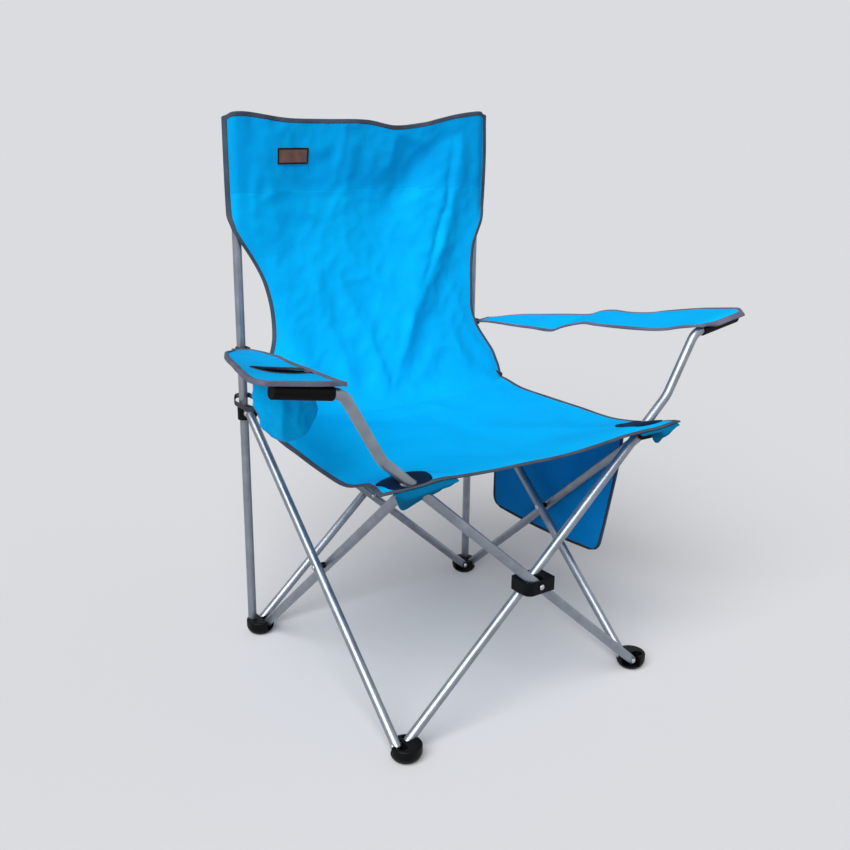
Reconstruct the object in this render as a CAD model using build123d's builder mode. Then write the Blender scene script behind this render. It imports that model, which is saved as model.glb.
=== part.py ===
"""Folding camp chair: eight leg tubes in four scissor pairs, two back uprights with sliders, sling fabric.

Millimetres. +Z is up, the sitter looks along -Y, and +X is the sitter's left hand side.
The origin lies on the floor in the middle of the four feet.
"""
import os
from math import atan2, cos, degrees, hypot, radians, sin

from build123d import *

# Leg frame
foot_spacing = 500.0  # middle of one foot to the next, along both sides
foot_pivot_height = 22.0
corner_pivot_height = 446.0
plane_offset = 11.0  # tube axis to the plane through the foot centres
pivot_inset = 12.0  # pivot to the foot centre, along that plane
fold_angle = 44.0  # turn of each leg tube from open to folded
tube_diameter = 16.0
tube_wall = 1.2
foot_end = 5.0  # tube past its foot pivot
top_end = 7.0  # tube past its top pivot
flat_gap = 0.3  # room between pieces that turn face to face

# Flattened tube ends at the front corners
tab_thickness = 3.0
tab_width = 14.0
tab_length = 22.0  # flat stretch below the pivot
crimp_length = 18.0  # from round tube to flat tab

# Arm posts, which are the bent upper ends of the two front tubes
post_straight = 86.0  # past the corner pivot before the first bend
post_lean = 30.0  # from upright, after the first bend
post_length = 121.0  # between the two bends
post_bend_radius = 60.0
bar_rise_angle = 9.5  # of the arm bar above level
bar_bend_radius = 30.0
bar_length = 104.0
sleeve_wall = 2.2
sleeve_length = 90.0
sleeve_fit = 0.15

# Rivets
rivet_diameter = 5.0
rivet_clearance = 0.05
rivet_head_diameter = 9.5
rivet_head_height = 2.2
spacer_diameter = 11.0

# Feet
foot_radius = 26.0
foot_base_radius = 14.5
foot_height = 28.0
foot_flare_height = 17.0  # of the curve from the base to the wall
foot_edge = 3.0
pocket_length = 5.5  # round end of a front foot's outer slot, past the foot centre
slot_clearance = 0.4
slot_floor = 9.5
slot_back = 9.5  # slot past the pivot
rivet_depth = 7.0  # of the inner rivet in the foot's core
rivet_seat = 21.8  # flat under the inner rivet's head, from the foot centre
core_grip = 3.6  # of the outer rivet in the foot's core
socket_floor = 8.0
socket_fit = 0.05

# Uprights, sliders and corner brackets
upright_cap_height = 3.5
upright_plug_length = 20.0
plug_fit = 0.1
ear_thickness = 3.0
ear_half_height = 9.0
slider_wall = 3.35
slider_bore_clearance = 0.2
slider_below = 16.0
slider_above = 9.0
slider_web = 9.0

# Hub at the front crossing
hub_width = 58.0
hub_height = 24.0
hub_wall = 2.6
hub_clearance = 0.5
hub_edge = 3.0
hub_nose_radius = 13.0  # of the front edge on the sitter's right
hub_boss_diameter = 13.0
hub_boss_height = 0.8

# Fabric. Rises are above the corner pivots or the crease, and forward is from the plane of the uprights
cloth = 1.6
back_top = 965.0
upright_top_gap = 10.0  # uprights below the back's top edge
back_sleeve_wall = 2.3
back_sleeve_gap = 0.3
back_sleeve_length = 175.0
back_top_sag = 20.0
back_hem = 7.4  # past each pole sleeve
back_waist_inset = 57.0  # on each side, from the width at the top
back_waist_rise = 164.0
back_foot_inset = 13.0
back_knee_forward = 55.0
back_knee_rise = 117.0
crease_forward = 95.0
crease_rise = 12.0
seat_gap = 0.5
seat_front_overhang = 24.0  # past the front feet's centres
seat_front_rise = 12.0
seat_front_length = 222.0  # front edge to the fold across the seat
seat_shelf = 62.0  # level stretch behind the front edge, on the corner brackets
seat_shelf_drop = 1.0
seat_sag = 18.0
seat_side_clearance = 3.0  # past the rivets of the side tubes
seat_tip_flare = 29.5  # of each front corner past the seat's sides
seat_tip_length = 96.0
post_hole_length = 34.0
post_hole_width = 21.0
patch_length = 74.0
patch_width = 70.0
patch_corner = 22.0
patch_inset = 6.5  # middle of the patch inward of the arm post
patch_front_gap = 2.0
patch_thickness = 1.4
flap_width = 96.0
flap_drop = 24.0
flap_inner_drop = 13.0
flap_taper = 12.0
strap_width = 14.0
strap_gap = 1.2
strap_lift = 2.0
strap_forward = 75.0

# Armrests. Outsets are sideways from the uprights
arm_rear_rise = 114.0
arm_rear_outset = 7.0
arm_rear_forward = 6.0
arm_side_slope = 0.125
arm_cloth = 2.4
arm_back_forward = 23.0
arm_back_inset = 5.0
arm_back_outset = 29.0
arm_elbow_outset = 89.0
arm_elbow_forward = 121.0
arm_inner_knee_outset = 1.0
arm_inner_knee_forward = 139.0
arm_end_overhang = 14.7  # past the end of the arm bar
arm_front_width = 118.0
arm_front_overhang = 11.0
arm_hip_inset = 12.0  # from the outer front corner
arm_hip_back = 82.0  # behind the front feet's centres
arm_corner_radius = 14.0
loop_height = 9.0
loop_wall = 1.6
loop_gap = 1.2
cup_inset = 120.0  # from the armrest's outer front corner
cup_back = 165.0  # behind the front feet's centres
cup_radius = 46.0
cup_bottom_radius = 39.0
cup_bottom_drop = 63.0  # below the rear end of the armrest
cup_cone_height = 159.0  # from the bottom to where the bag would have its full radius

# Side pocket and patch on the back
pocket_gap = 0.5
pocket_depth = 10.0
pocket_rear_forward = 69.0
pocket_front_bottom = 126.0  # behind the front feet's centres
pocket_front_top = 90.0
pocket_top_drop = 12.0  # below the seat's front edge
pocket_height = 278.0
pocket_corner = 26.0
label_width = 64.0
label_height = 28.0
label_inset = 127.0  # from the back's side edge
label_drop = 71.0  # from the back's top edge
label_thickness = 1.2

# Worked out
half = foot_spacing / 2
tube_radius = tube_diameter / 2
rivet_radius = rivet_diameter / 2
run = foot_spacing - 2 * pivot_inset
rise = corner_pivot_height - foot_pivot_height
pivot_length = hypot(run, rise)
lean = degrees(atan2(run, rise))
crossing_height = foot_pivot_height + rise / 2
upright_x = half + plane_offset
upright_y = half + plane_offset
sleeve_radius = tube_radius + sleeve_fit + sleeve_wall
back_sleeve_radius = tube_radius + back_sleeve_gap + back_sleeve_wall
upright_top = back_top - upright_top_gap
back_sleeve_bottom = back_top - back_sleeve_length
back_front_y = upright_y - back_sleeve_radius
back_half_width = upright_x + back_sleeve_radius + back_hem
back_foot_half_width = back_half_width - back_foot_inset
crease_y = upright_y - crease_forward
crease_height = corner_pivot_height + crease_rise
rivet_face = half + plane_offset + tube_radius + flat_gap + rivet_head_height
seat_half_width = rivet_face + seat_side_clearance
seat_tip_half_width = seat_half_width + seat_tip_flare
seat_front_y = -half - seat_front_overhang
seat_front_height = corner_pivot_height + seat_front_rise
seat_split_y = seat_front_y + seat_front_length
arm_rear_height = corner_pivot_height + arm_rear_rise
arm_back_edge = upright_y - arm_back_forward

# Each side of the frame is the front side turned about the middle
sides = {"front": 0, "left": 90, "rear": 180, "right": 270}
feet = {
    "front_right": ((-half, -half), 0),
    "front_left": ((half, -half), 90),
    "rear_left": ((half, half), 180),
    "rear_right": ((-half, half), 270),
}

os.makedirs("parts", exist_ok=True)


def turned(angle, x, y, z):
    return Vector(x, y, z).rotate(Axis.Z, angle)


def save(part, name):
    part.label = name
    export_step(part, f"parts/{name}.step")


def rivet(start, axis, grip, second_head=True):
    """Domed rivet whose first head bears at start, with its shank along axis."""
    across = Vector(0, 0, 1)
    head = rivet_head_diameter / 2
    dome = (head**2 + rivet_head_height**2) / (2 * rivet_head_height)
    dome_angle = atan2(head, dome - rivet_head_height) / 2
    crown_height = rivet_head_height - dome * (1 - cos(dome_angle))
    crown_radius = dome * sin(dome_angle)
    with BuildPart() as pin:
        with BuildSketch(Plane(origin=start, x_dir=axis, z_dir=axis.cross(across))):
            with BuildLine():
                ThreePointArc((-rivet_head_height, 0), (-crown_height, crown_radius), (0, head))
                if second_head:
                    far_crown = (grip + crown_height, crown_radius)
                    far_end = (grip + rivet_head_height, 0)
                    Polyline((0, head), (0, rivet_radius), (grip, rivet_radius), (grip, head))
                    ThreePointArc((grip, head), far_crown, far_end)
                    Line(far_end, (-rivet_head_height, 0))
                else:
                    Polyline((0, head), (0, rivet_radius), (grip, rivet_radius), (grip, 0))
                    Line((grip, 0), (-rivet_head_height, 0))
            make_face()
        revolve(axis=Axis(start, axis))
    return pin.part


def rivet_hole(point, axis, clearance):
    """Cut for a rivet through the part that is being built."""
    with BuildSketch(Plane(origin=point - axis * tube_diameter, z_dir=axis)) as hole:
        Circle(rivet_radius + clearance)
    extrude(hole.sketch, amount=2 * tube_diameter, mode=Mode.SUBTRACT)


# Leg tubes of the left, rear and right sides
def straight_tube(angle, outer, crimped):
    lay = -1 if outer else 1
    foot_pivot = turned(angle, -lay * run / 2, -half + lay * plane_offset, foot_pivot_height)
    along = turned(angle, lay * sin(radians(lean)), 0, cos(radians(lean)))
    outward = turned(angle, 0, -1, 0)
    start = foot_pivot - along * foot_end
    round_length = pivot_length - tab_length - crimp_length if crimped else pivot_length + top_end
    with BuildPart() as tube:
        base = Plane(origin=start, x_dir=outward, z_dir=along)
        with BuildSketch(base):
            Circle(tube_radius)
            Circle(tube_radius - tube_wall, mode=Mode.SUBTRACT)
        extrude(amount=foot_end + round_length)
        if crimped:
            with BuildSketch(base.offset(foot_end + round_length)):
                Circle(tube_radius)
            with BuildSketch(base.offset(foot_end + round_length + crimp_length)):
                Rectangle(tab_thickness, tab_width)
            loft()
            side_plane = Plane(origin=foot_pivot + along * pivot_length, x_dir=along, z_dir=outward)
            with BuildSketch(side_plane.offset(-tab_thickness / 2)):
                Circle(tab_width / 2)
                with Locations((-tab_length / 2, 0)):
                    Rectangle(tab_length, tab_width)
            extrude(amount=tab_thickness)
        for distance in (0, pivot_length / 2, pivot_length):
            rivet_hole(foot_pivot + along * distance, outward, rivet_clearance)
    return tube.part


crimped_tubes = ("right_inner_tube", "left_outer_tube")
for side in ("left", "rear", "right"):
    for lay in ("inner", "outer"):
        name = f"{side}_{lay}_tube"
        save(straight_tube(sides[side], lay == "outer", name in crimped_tubes), name)

# Front tubes, which go on past the seat as arm posts and end in the arm bars
bar_frames = {}
for lay, hand in (("inner", 1), ("outer", -1)):
    tube_y = -half + hand * plane_offset
    foot_pivot = Vector(-hand * run / 2, tube_y, foot_pivot_height)
    along = Vector(hand * sin(radians(lean)), 0, cos(radians(lean)))
    start = foot_pivot - along * foot_end
    first_bend = foot_pivot + along * (pivot_length + post_straight)
    post = Vector(hand * sin(radians(post_lean)), 0, cos(radians(post_lean)))
    second_bend = first_bend + post * post_length
    bar = Vector(hand * cos(radians(bar_rise_angle)), 0, sin(radians(bar_rise_angle)))
    bar_end = second_bend + bar * bar_length
    bar_frames[hand] = (bar_end, bar)
    with BuildPart() as front_tube:
        with BuildLine() as route:
            bends = (post_bend_radius, bar_bend_radius)
            FilletPolyline(start, first_bend, second_bend, bar_end, radius=bends)
        with BuildSketch(Plane(origin=start, x_dir=(0, 1, 0), z_dir=along)):
            Circle(tube_radius)
            Circle(tube_radius - tube_wall, mode=Mode.SUBTRACT)
        sweep(path=route.line)
        for distance in (0, pivot_length / 2, pivot_length):
            rivet_hole(foot_pivot + along * distance, Vector(0, 1, 0), rivet_clearance)
    save(front_tube.part, f"front_{lay}_tube")

# Closed sleeves over the arm bars
for hand, name in ((1, "left_arm_sleeve"), (-1, "right_arm_sleeve")):
    bar_end, bar = bar_frames[hand]
    with BuildPart() as arm_sleeve:
        with BuildSketch(Plane(origin=bar_end + bar * sleeve_wall, x_dir=(0, 1, 0), z_dir=-bar)):
            Circle(sleeve_radius)
        extrude(amount=sleeve_length)
        fillet(arm_sleeve.edges(), radius=sleeve_wall / 2)
        with BuildSketch(Plane(origin=bar_end, x_dir=(0, 1, 0), z_dir=-bar)):
            Circle(tube_radius + sleeve_fit)
        extrude(amount=sleeve_length, mode=Mode.SUBTRACT)
    save(arm_sleeve.part, name)


# Feet: a bowl with a slot for each tube, at the rear a socket for the upright and at the front a pocket
def foot(centre, angle, socket):
    plane = Plane(origin=(*centre, 0), x_dir=turned(angle, 1, 0, 0), z_dir=(0, 0, 1))
    profile = Plane(origin=plane.origin, x_dir=plane.x_dir, z_dir=-plane.y_dir)
    lowest = (Align.CENTER, Align.CENTER, Align.MIN)
    slot = tube_diameter + 2 * slot_clearance
    with BuildPart(plane) as bowl:
        with BuildSketch(profile):
            with BuildLine():
                shoulder = foot_height - foot_edge
                flare = foot_radius - foot_base_radius
                flare_radius = (flare**2 + foot_flare_height**2) / (2 * flare)  # runs into the wall smoothly
                Line((0, 0), (foot_base_radius, 0))
                RadiusArc((foot_base_radius, 0), (foot_radius, foot_flare_height), -flare_radius)
                Line((foot_radius, foot_flare_height), (foot_radius, shoulder))
                RadiusArc((foot_radius, shoulder), (foot_radius - foot_edge, foot_height), -foot_edge)
                Polyline((foot_radius - foot_edge, foot_height), (0, foot_height), (0, 0))
            make_face()
        revolve(axis=Axis((*centre, 0), (0, 0, 1)))
        with Locations((pivot_inset - slot_back, plane_offset, slot_floor)):
            inner_way = (Align.MIN, Align.CENTER, Align.MIN)
            Box(foot_radius, slot, foot_height, align=inner_way, mode=Mode.SUBTRACT)
        with Locations((slot / 2 - plane_offset, pivot_inset - slot_back, slot_floor)):
            outer_way = (Align.MAX, Align.MIN, Align.MIN)
            Box(foot_radius, foot_radius, foot_height, align=outer_way, mode=Mode.SUBTRACT)
        with Locations((pivot_inset, rivet_seat, foot_pivot_height)):
            seat_radius = rivet_head_diameter / 2 + flat_gap
            Cylinder(seat_radius, foot_radius, rotation=(-90, 0, 0), align=lowest, mode=Mode.SUBTRACT)
        inner_pivot, outer_pivot = foot_pivots(centre, angle)
        inner_axis = turned(angle, 0, -1, 0)
        inner_start = inner_pivot - inner_axis * (rivet_seat - plane_offset)
        with BuildSketch(Plane(origin=inner_start, z_dir=inner_axis)):
            Circle(rivet_radius)
        extrude(amount=rivet_seat + rivet_depth, mode=Mode.SUBTRACT)
        outer_axis = turned(angle, 1, 0, 0)
        with BuildSketch(Plane(origin=outer_pivot, z_dir=outer_axis)):
            Circle(rivet_radius)
        extrude(amount=slot / 2 + core_grip, mode=Mode.SUBTRACT)
        if socket:
            with Locations((-plane_offset, -plane_offset, socket_floor)):
                Cylinder(tube_radius + socket_fit, foot_height, align=lowest, mode=Mode.SUBTRACT)
        else:
            with Locations((-plane_offset, -pocket_length, slot_floor)):
                pocket_way = (Align.CENTER, Align.MIN, Align.MIN)
                Cylinder(slot / 2, foot_height, align=lowest, mode=Mode.SUBTRACT)
                Box(slot, foot_radius, foot_height, align=pocket_way, mode=Mode.SUBTRACT)
    return bowl.part


def foot_pivots(centre, angle):
    middle = Vector(*centre, foot_pivot_height)
    inner_pivot = middle + turned(angle, pivot_inset, plane_offset, 0)
    return inner_pivot, middle + turned(angle, -plane_offset, pivot_inset, 0)


for corner, (centre, angle) in feet.items():
    save(foot(centre, angle, corner.startswith("rear")), f"{corner}_foot")
    inner_pivot, outer_pivot = foot_pivots(centre, angle)
    inner_axis = turned(angle, 0, -1, 0)
    outer_axis = turned(angle, 1, 0, 0)
    outer_reach = tube_radius + flat_gap
    inner_start = inner_pivot - inner_axis * (rivet_seat - plane_offset)
    with BuildPart() as foot_rivets:
        add(rivet(inner_start, inner_axis, rivet_seat + rivet_depth, False))
        core_end = tube_radius + slot_clearance + core_grip
        add(rivet(outer_pivot - outer_axis * outer_reach, outer_axis, outer_reach + core_end, False))
    save(foot_rivets.part, f"{corner}_foot_rivets")

# Rivets and spacers where the side and rear tubes cross
for side in ("left", "rear", "right"):
    angle = sides[side]
    inward = turned(angle, 0, 1, 0)
    middle = turned(angle, 0, -half, crossing_height)
    reach = plane_offset + tube_radius + flat_gap
    save(rivet(middle - inward * reach, inward, 2 * reach), f"{side}_crossing_rivet")
    spacer_length = 2 * (plane_offset - tube_radius - flat_gap)
    with BuildPart() as spacer:
        with BuildSketch(Plane(origin=middle - inward * (spacer_length / 2), z_dir=inward)):
            Circle(spacer_diameter / 2)
            Circle(rivet_radius + rivet_clearance, mode=Mode.SUBTRACT)
        extrude(amount=spacer_length)
    save(spacer.part, f"{side}_crossing_spacer")

# Hub at the front crossing: each tube turns in its own layer between two walls
hub_half_depth = plane_offset + tube_radius + hub_clearance + hub_wall
channel = tube_radius + hub_clearance
fan_reach = hub_width + hub_height


def fan(hand):
    """Corners of one wing of the space that a tube sweeps as it turns, for a tube that leans to hand."""
    open_way = (hand * sin(radians(lean)), cos(radians(lean)))
    shut_way = (hand * sin(radians(lean - fold_angle)), cos(radians(lean - fold_angle)))
    open_edge = (hand * channel * open_way[1], -channel * abs(open_way[0]))
    shut_edge = (-hand * channel * shut_way[1], channel * abs(shut_way[0]))
    open_tip = (open_edge[0] + fan_reach * open_way[0], open_edge[1] + fan_reach * open_way[1])
    shut_tip = (shut_edge[0] + fan_reach * shut_way[0], shut_edge[1] + fan_reach * shut_way[1])
    return [open_edge, open_tip, shut_tip, shut_edge]


with BuildPart() as front_hub:
    hub_face = Plane(origin=(0, -half, crossing_height), x_dir=(1, 0, 0), z_dir=(0, -1, 0))
    with BuildSketch(Plane(origin=(0, -half, crossing_height - hub_height / 2))) as hub_plan:
        Rectangle(hub_width, 2 * hub_half_depth)
        nose = hub_plan.vertices().sort_by(Axis.X)[:2].sort_by(Axis.Y)[0]
        others = [corner for corner in hub_plan.vertices() if corner != nose]
        fillet(nose, radius=hub_nose_radius)
        fillet([hub_plan.vertices().sort_by_distance(corner)[0] for corner in others], radius=hub_edge)
    extrude(amount=hub_height)
    fillet(front_hub.faces().filter_by(Axis.Z).edges(), radius=hub_wall / 2)
    with BuildSketch(hub_face.offset(hub_half_depth)):
        Circle(hub_boss_diameter / 2)
    extrude(amount=hub_boss_height)
    for hand, layer in ((1, -plane_offset), (-1, plane_offset)):
        with BuildSketch(hub_face.offset(layer - channel)):
            Circle(channel)
            for turn in (0, 180):
                with Locations(Location((0, 0, 0), (0, 0, turn))):
                    Polygon(*fan(hand), align=None)
        extrude(amount=2 * channel, mode=Mode.SUBTRACT)
    with BuildSketch(hub_face.offset(-hub_half_depth)):
        Circle(rivet_radius)
    extrude(amount=2 * hub_half_depth + hub_boss_height, mode=Mode.SUBTRACT)
save(front_hub.part, "front_hub")
hub_front = Vector(0, -half - hub_half_depth - hub_boss_height, crossing_height)
save(rivet(hub_front, Vector(0, 1, 0), 2 * hub_half_depth + hub_boss_height), "hub_rivet")

# Back uprights with their plugs
for name, hand in (("left", 1), ("right", -1)):
    with BuildPart() as upright:
        with BuildSketch(Plane(origin=(hand * upright_x, upright_y, socket_floor), z_dir=(0, 0, 1))):
            Circle(tube_radius)
            Circle(tube_radius - tube_wall, mode=Mode.SUBTRACT)
        extrude(amount=upright_top - socket_floor)
    save(upright.part, f"{name}_upright")
    with BuildPart() as upright_cap:
        with BuildSketch(Plane(origin=(hand * upright_x, upright_y, upright_top), z_dir=(0, 0, 1))):
            Circle(tube_radius)
        extrude(amount=upright_cap_height)
        fillet(upright_cap.faces().sort_by(Axis.Z)[-1].edges(), radius=upright_cap_height / 2)
        with BuildSketch(Plane(origin=(hand * upright_x, upright_y, upright_top), z_dir=(0, 0, 1))):
            Circle(tube_radius - tube_wall - plug_fit)
        extrude(amount=-upright_plug_length)
    save(upright_cap.part, f"{name}_upright_cap")

# Sliders on the uprights: a ring with an ear for each of the two tubes that end there
tube_reach = tube_radius + flat_gap
ear_face = plane_offset - tube_reach
ring_radius = tube_radius + slider_bore_clearance + slider_wall


def ear(pivot, outward, reach, backward, length):
    """Plate beside a turning end: round about the pivot, square at its other end."""
    face = Plane(origin=pivot - outward * reach, x_dir=backward, z_dir=-outward)
    with BuildSketch(face) as plate:
        Circle(ear_half_height)
        with Locations((length / 2, 0)):
            Rectangle(length, 2 * ear_half_height)
    extrude(plate.sketch, amount=ear_thickness)


for name, hand in (("left", 1), ("right", -1)):
    corner = Vector(hand * half, half, corner_pivot_height)
    rear_pivot = corner + Vector(-hand * pivot_inset, hand * plane_offset, 0)
    side_pivot = corner + Vector(-plane_offset, -pivot_inset, 0)
    rear_axis = Vector(0, hand, 0)
    side_axis = Vector(-1, 0, 0)
    with BuildPart(Plane(origin=corner)) as slider:
        ear(rear_pivot, rear_axis, tube_reach, Vector(hand, 0, 0), pivot_inset + ear_face)
        ear(side_pivot, side_axis, tube_reach, Vector(0, 1, 0), pivot_inset + ear_face)
        with Locations(Location((hand * plane_offset / 2, plane_offset / 2, 0), (0, 0, hand * 45))):
            Box(plane_offset, slider_web, 2 * ear_half_height)
        with Locations((hand * plane_offset, plane_offset, -slider_below)):
            Cylinder(ring_radius, slider_below + slider_above, align=(Align.CENTER, Align.CENTER, Align.MIN))
        fillet(slider.edges().filter_by(GeomType.CIRCLE).sort_by(Axis.Z)[-1], radius=slider_wall / 3)
        with Locations((hand * plane_offset, plane_offset, -slider_below)):
            Cylinder(
                tube_radius + slider_bore_clearance,
                slider_below + slider_above,
                align=(Align.CENTER, Align.CENTER, Align.MIN),
                mode=Mode.SUBTRACT,
            )
        rivet_hole(rear_pivot, rear_axis, 0)
        rivet_hole(side_pivot, side_axis, 0)
    save(slider.part, f"{name}_slider")
    with BuildPart() as slider_rivets:
        for pivot, axis in ((rear_pivot, rear_axis), (side_pivot, side_axis)):
            add(rivet(pivot + axis * tube_reach, -axis, 2 * tube_reach + ear_thickness, False))
    save(slider_rivets.part, f"{name}_slider_rivets")

# Front corner brackets: an angle between the arm post and the flat end of the side tube
tab_reach = tab_thickness / 2 + flat_gap
for name, hand in (("left", 1), ("right", -1)):
    corner = Vector(hand * half, -half, corner_pivot_height)
    post_pivot = corner + Vector(-hand * pivot_inset, hand * plane_offset, 0)
    tab_pivot = corner + Vector(plane_offset, pivot_inset, 0)
    post_axis = Vector(0, hand, 0)
    tab_axis = Vector(-hand, 0, 0)
    plate_edge = hand * plane_offset + tab_reach + ear_thickness  # far face of the tab's plate
    with BuildPart() as bracket:
        ear(post_pivot, post_axis, tube_reach, Vector(hand, 0, 0), pivot_inset + plate_edge)
        tab_length_back = pivot_inset + (ear_thickness - ear_face if hand > 0 else ear_face)
        ear(tab_pivot, tab_axis, tab_reach, Vector(0, -1, 0), tab_length_back)
        rivet_hole(post_pivot, post_axis, 0)
        rivet_hole(tab_pivot, tab_axis, 0)
    save(bracket.part, f"{name}_corner_bracket")
    with BuildPart() as bracket_rivets:
        add(rivet(post_pivot + post_axis * tube_reach, -post_axis, 2 * tube_reach + ear_thickness, False))
        add(rivet(tab_pivot + tab_axis * tab_reach, -tab_axis, 2 * tab_reach + ear_thickness))
    save(bracket_rivets.part, f"{name}_corner_rivets")

# Back panel: a sheet that leaves the uprights below its two pole sleeves and comes forward to the seat
with BuildPart() as back_panel:
    with BuildSketch(Plane.YZ):
        with BuildLine():
            front_face = [
                (back_front_y, back_top),
                (back_front_y, back_sleeve_bottom),
                (upright_y - back_knee_forward, crease_height + back_knee_rise),
                (crease_y, crease_height),
            ]
            rear_face = [(y + cloth, z) for y, z in reversed(front_face)]
            Polyline(*front_face, *rear_face, close=True)
        make_face()
    extrude(amount=back_half_width, both=True)
    with BuildSketch(Plane.XZ):
        with BuildLine():
            top_corner = (back_half_width, back_top)
            ThreePointArc((-back_half_width, back_top), (0, back_top - back_top_sag), top_corner)
            for hand in (1, -1):
                Line((hand * back_half_width, back_top), (hand * back_half_width, back_sleeve_bottom))
                ThreePointArc(
                    (hand * back_half_width, back_sleeve_bottom),
                    (hand * (back_half_width - back_waist_inset), crease_height + back_waist_rise),
                    (hand * back_foot_half_width, crease_height),
                )
            Line((-back_foot_half_width, crease_height), (back_foot_half_width, crease_height))
        make_face()
    extrude(amount=foot_spacing, both=True, mode=Mode.INTERSECT)
    for hand in (1, -1):
        with Locations((hand * upright_x, upright_y, back_sleeve_bottom)):
            Cylinder(
                back_sleeve_radius,
                back_top - back_sleeve_bottom,
                align=(Align.CENTER, Align.CENTER, Align.MIN),
            )
    for hand in (1, -1):
        with Locations((hand * upright_x, upright_y, back_sleeve_bottom)):
            Cylinder(
                tube_radius + back_sleeve_gap,
                upright_top + upright_cap_height + back_sleeve_gap - back_sleeve_bottom,
                align=(Align.CENTER, Align.CENTER, Align.MIN),
                mode=Mode.SUBTRACT,
            )
save(back_panel.part, "back_panel")

with BuildPart() as back_patch:
    label_middle = (label_inset - back_half_width, back_front_y, back_top - label_drop)
    with BuildSketch(Plane(origin=label_middle, x_dir=(1, 0, 0), z_dir=(0, -1, 0))):
        RectangleRounded(label_width, label_height, label_thickness)
    extrude(amount=label_thickness)
save(back_patch.part, "back_patch")


# Seat: one sheet in two leaves that meet at the fold across its middle
def seat_slice(lower, upper):
    """Band along the seat's sagging line, between two heights above it, as wide as the seat."""
    seat_rear_y = crease_y - seat_gap
    with BuildSketch(Plane.YZ) as band:
        with BuildLine():
            for lift in (lower, upper):
                shelf_end = (seat_front_y + seat_shelf, seat_front_height - seat_shelf_drop + lift)
                Line((seat_front_y, seat_front_height + lift), shelf_end)
                sag = (seat_split_y, seat_front_height - seat_sag + lift)
                ThreePointArc(shelf_end, sag, (seat_rear_y, crease_height + lift))
            Line((seat_front_y, seat_front_height + lower), (seat_front_y, seat_front_height + upper))
            Line((seat_rear_y, crease_height + lower), (seat_rear_y, crease_height + upper))
        make_face()
    extrude(band.sketch, amount=seat_tip_half_width, both=True)


def post_point(hand):
    """Where an arm post passes the seat."""
    lift = seat_front_height - corner_pivot_height
    reach = run / 2 + lift * sin(radians(lean)) / cos(radians(lean))
    return (hand * reach, -half + hand * plane_offset)


seat_leaves = {
    "seat_rear": [(seat_half_width, seat_split_y + seat_gap / 2), (back_foot_half_width, crease_y)],
    "seat_front": [
        (seat_half_width, seat_split_y - seat_gap / 2),
        (seat_half_width, seat_front_y + seat_tip_length),
        (seat_tip_half_width, seat_front_y),
    ],
}
for name, edge in seat_leaves.items():
    with BuildPart() as seat_leaf:
        seat_slice(-cloth, 0)
        with BuildSketch(Plane.XY):
            with BuildLine():
                Polyline(*edge, *[(-x, y) for x, y in reversed(edge)], close=True)
            make_face()
        extrude(amount=back_top, mode=Mode.INTERSECT)
        if name == "seat_front":
            with BuildSketch(Plane.XY):
                with Locations(post_point(1), post_point(-1)):
                    SlotOverall(post_hole_length, post_hole_width)
            extrude(amount=back_top, mode=Mode.SUBTRACT)
    save(seat_leaf.part, name)

# Reinforcing patches on the seat round the arm posts, and the folded flaps under the front corners
for name, hand in (("left", 1), ("right", -1)):
    with BuildPart() as seat_patch:
        seat_slice(0, patch_thickness)
        with BuildSketch(Plane.XY):
            patch_x = post_point(hand)[0] - hand * patch_inset
            with Locations((patch_x, seat_front_y + patch_front_gap + patch_width / 2)):
                RectangleRounded(patch_length, patch_width, patch_corner)
        extrude(amount=back_top, mode=Mode.INTERSECT)
        with BuildSketch(Plane.XY):
            with Locations(post_point(hand)):
                SlotOverall(post_hole_length, post_hole_width)
        extrude(amount=back_top, mode=Mode.SUBTRACT)
    save(seat_patch.part, f"{name}_seat_patch")
    with BuildPart() as corner_flap:
        flap_top = seat_front_height - cloth - flat_gap
        flap_outer = hand * (seat_tip_half_width - flap_taper)
        flap_inner = hand * (seat_tip_half_width - flap_taper - flap_width)
        flap_origin = (0, seat_front_y + cloth, flap_top)
        with BuildSketch(Plane(origin=flap_origin, x_dir=(1, 0, 0), z_dir=(0, -1, 0))):
            with BuildLine():
                Polyline(
                    (flap_outer, 0),
                    (flap_outer - hand * flap_taper, -flap_drop),
                    (flap_inner + hand * flap_taper, -flap_inner_drop),
                    (flap_inner, 0),
                    close=True,
                )
            make_face()
        extrude(amount=cloth)
    save(corner_flap.part, f"{name}_corner_flap")

# Webbing loops round the uprights: the seat's straps on the sliders and the armrests' loops above them
for name, hand in (("left", 1), ("right", -1)):
    strap_low = corner_pivot_height + slider_above + strap_lift
    loops = {
        "seat_strap": (strap_gap, strap_low, strap_width, upright_y - strap_forward),
        "arm_loop": (loop_gap, arm_rear_height - loop_height / 2, loop_height, arm_back_edge),
    }
    for kind, (gap, low, height, front) in loops.items():
        inner = tube_radius + gap
        outer = inner + loop_wall
        spread = upright_y - outer - front
        with BuildPart() as loop:
            middle = (hand * upright_x, upright_y - spread / 2)
            with BuildSketch(Plane.XY.offset(low)):
                with Locations(Location((*middle, 0), (0, 0, 90))):
                    SlotCenterToCenter(spread, 2 * outer)
                    SlotCenterToCenter(spread, 2 * inner, mode=Mode.SUBTRACT)
            extrude(amount=height)
        save(loop.part, f"{name}_{kind}")


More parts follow.
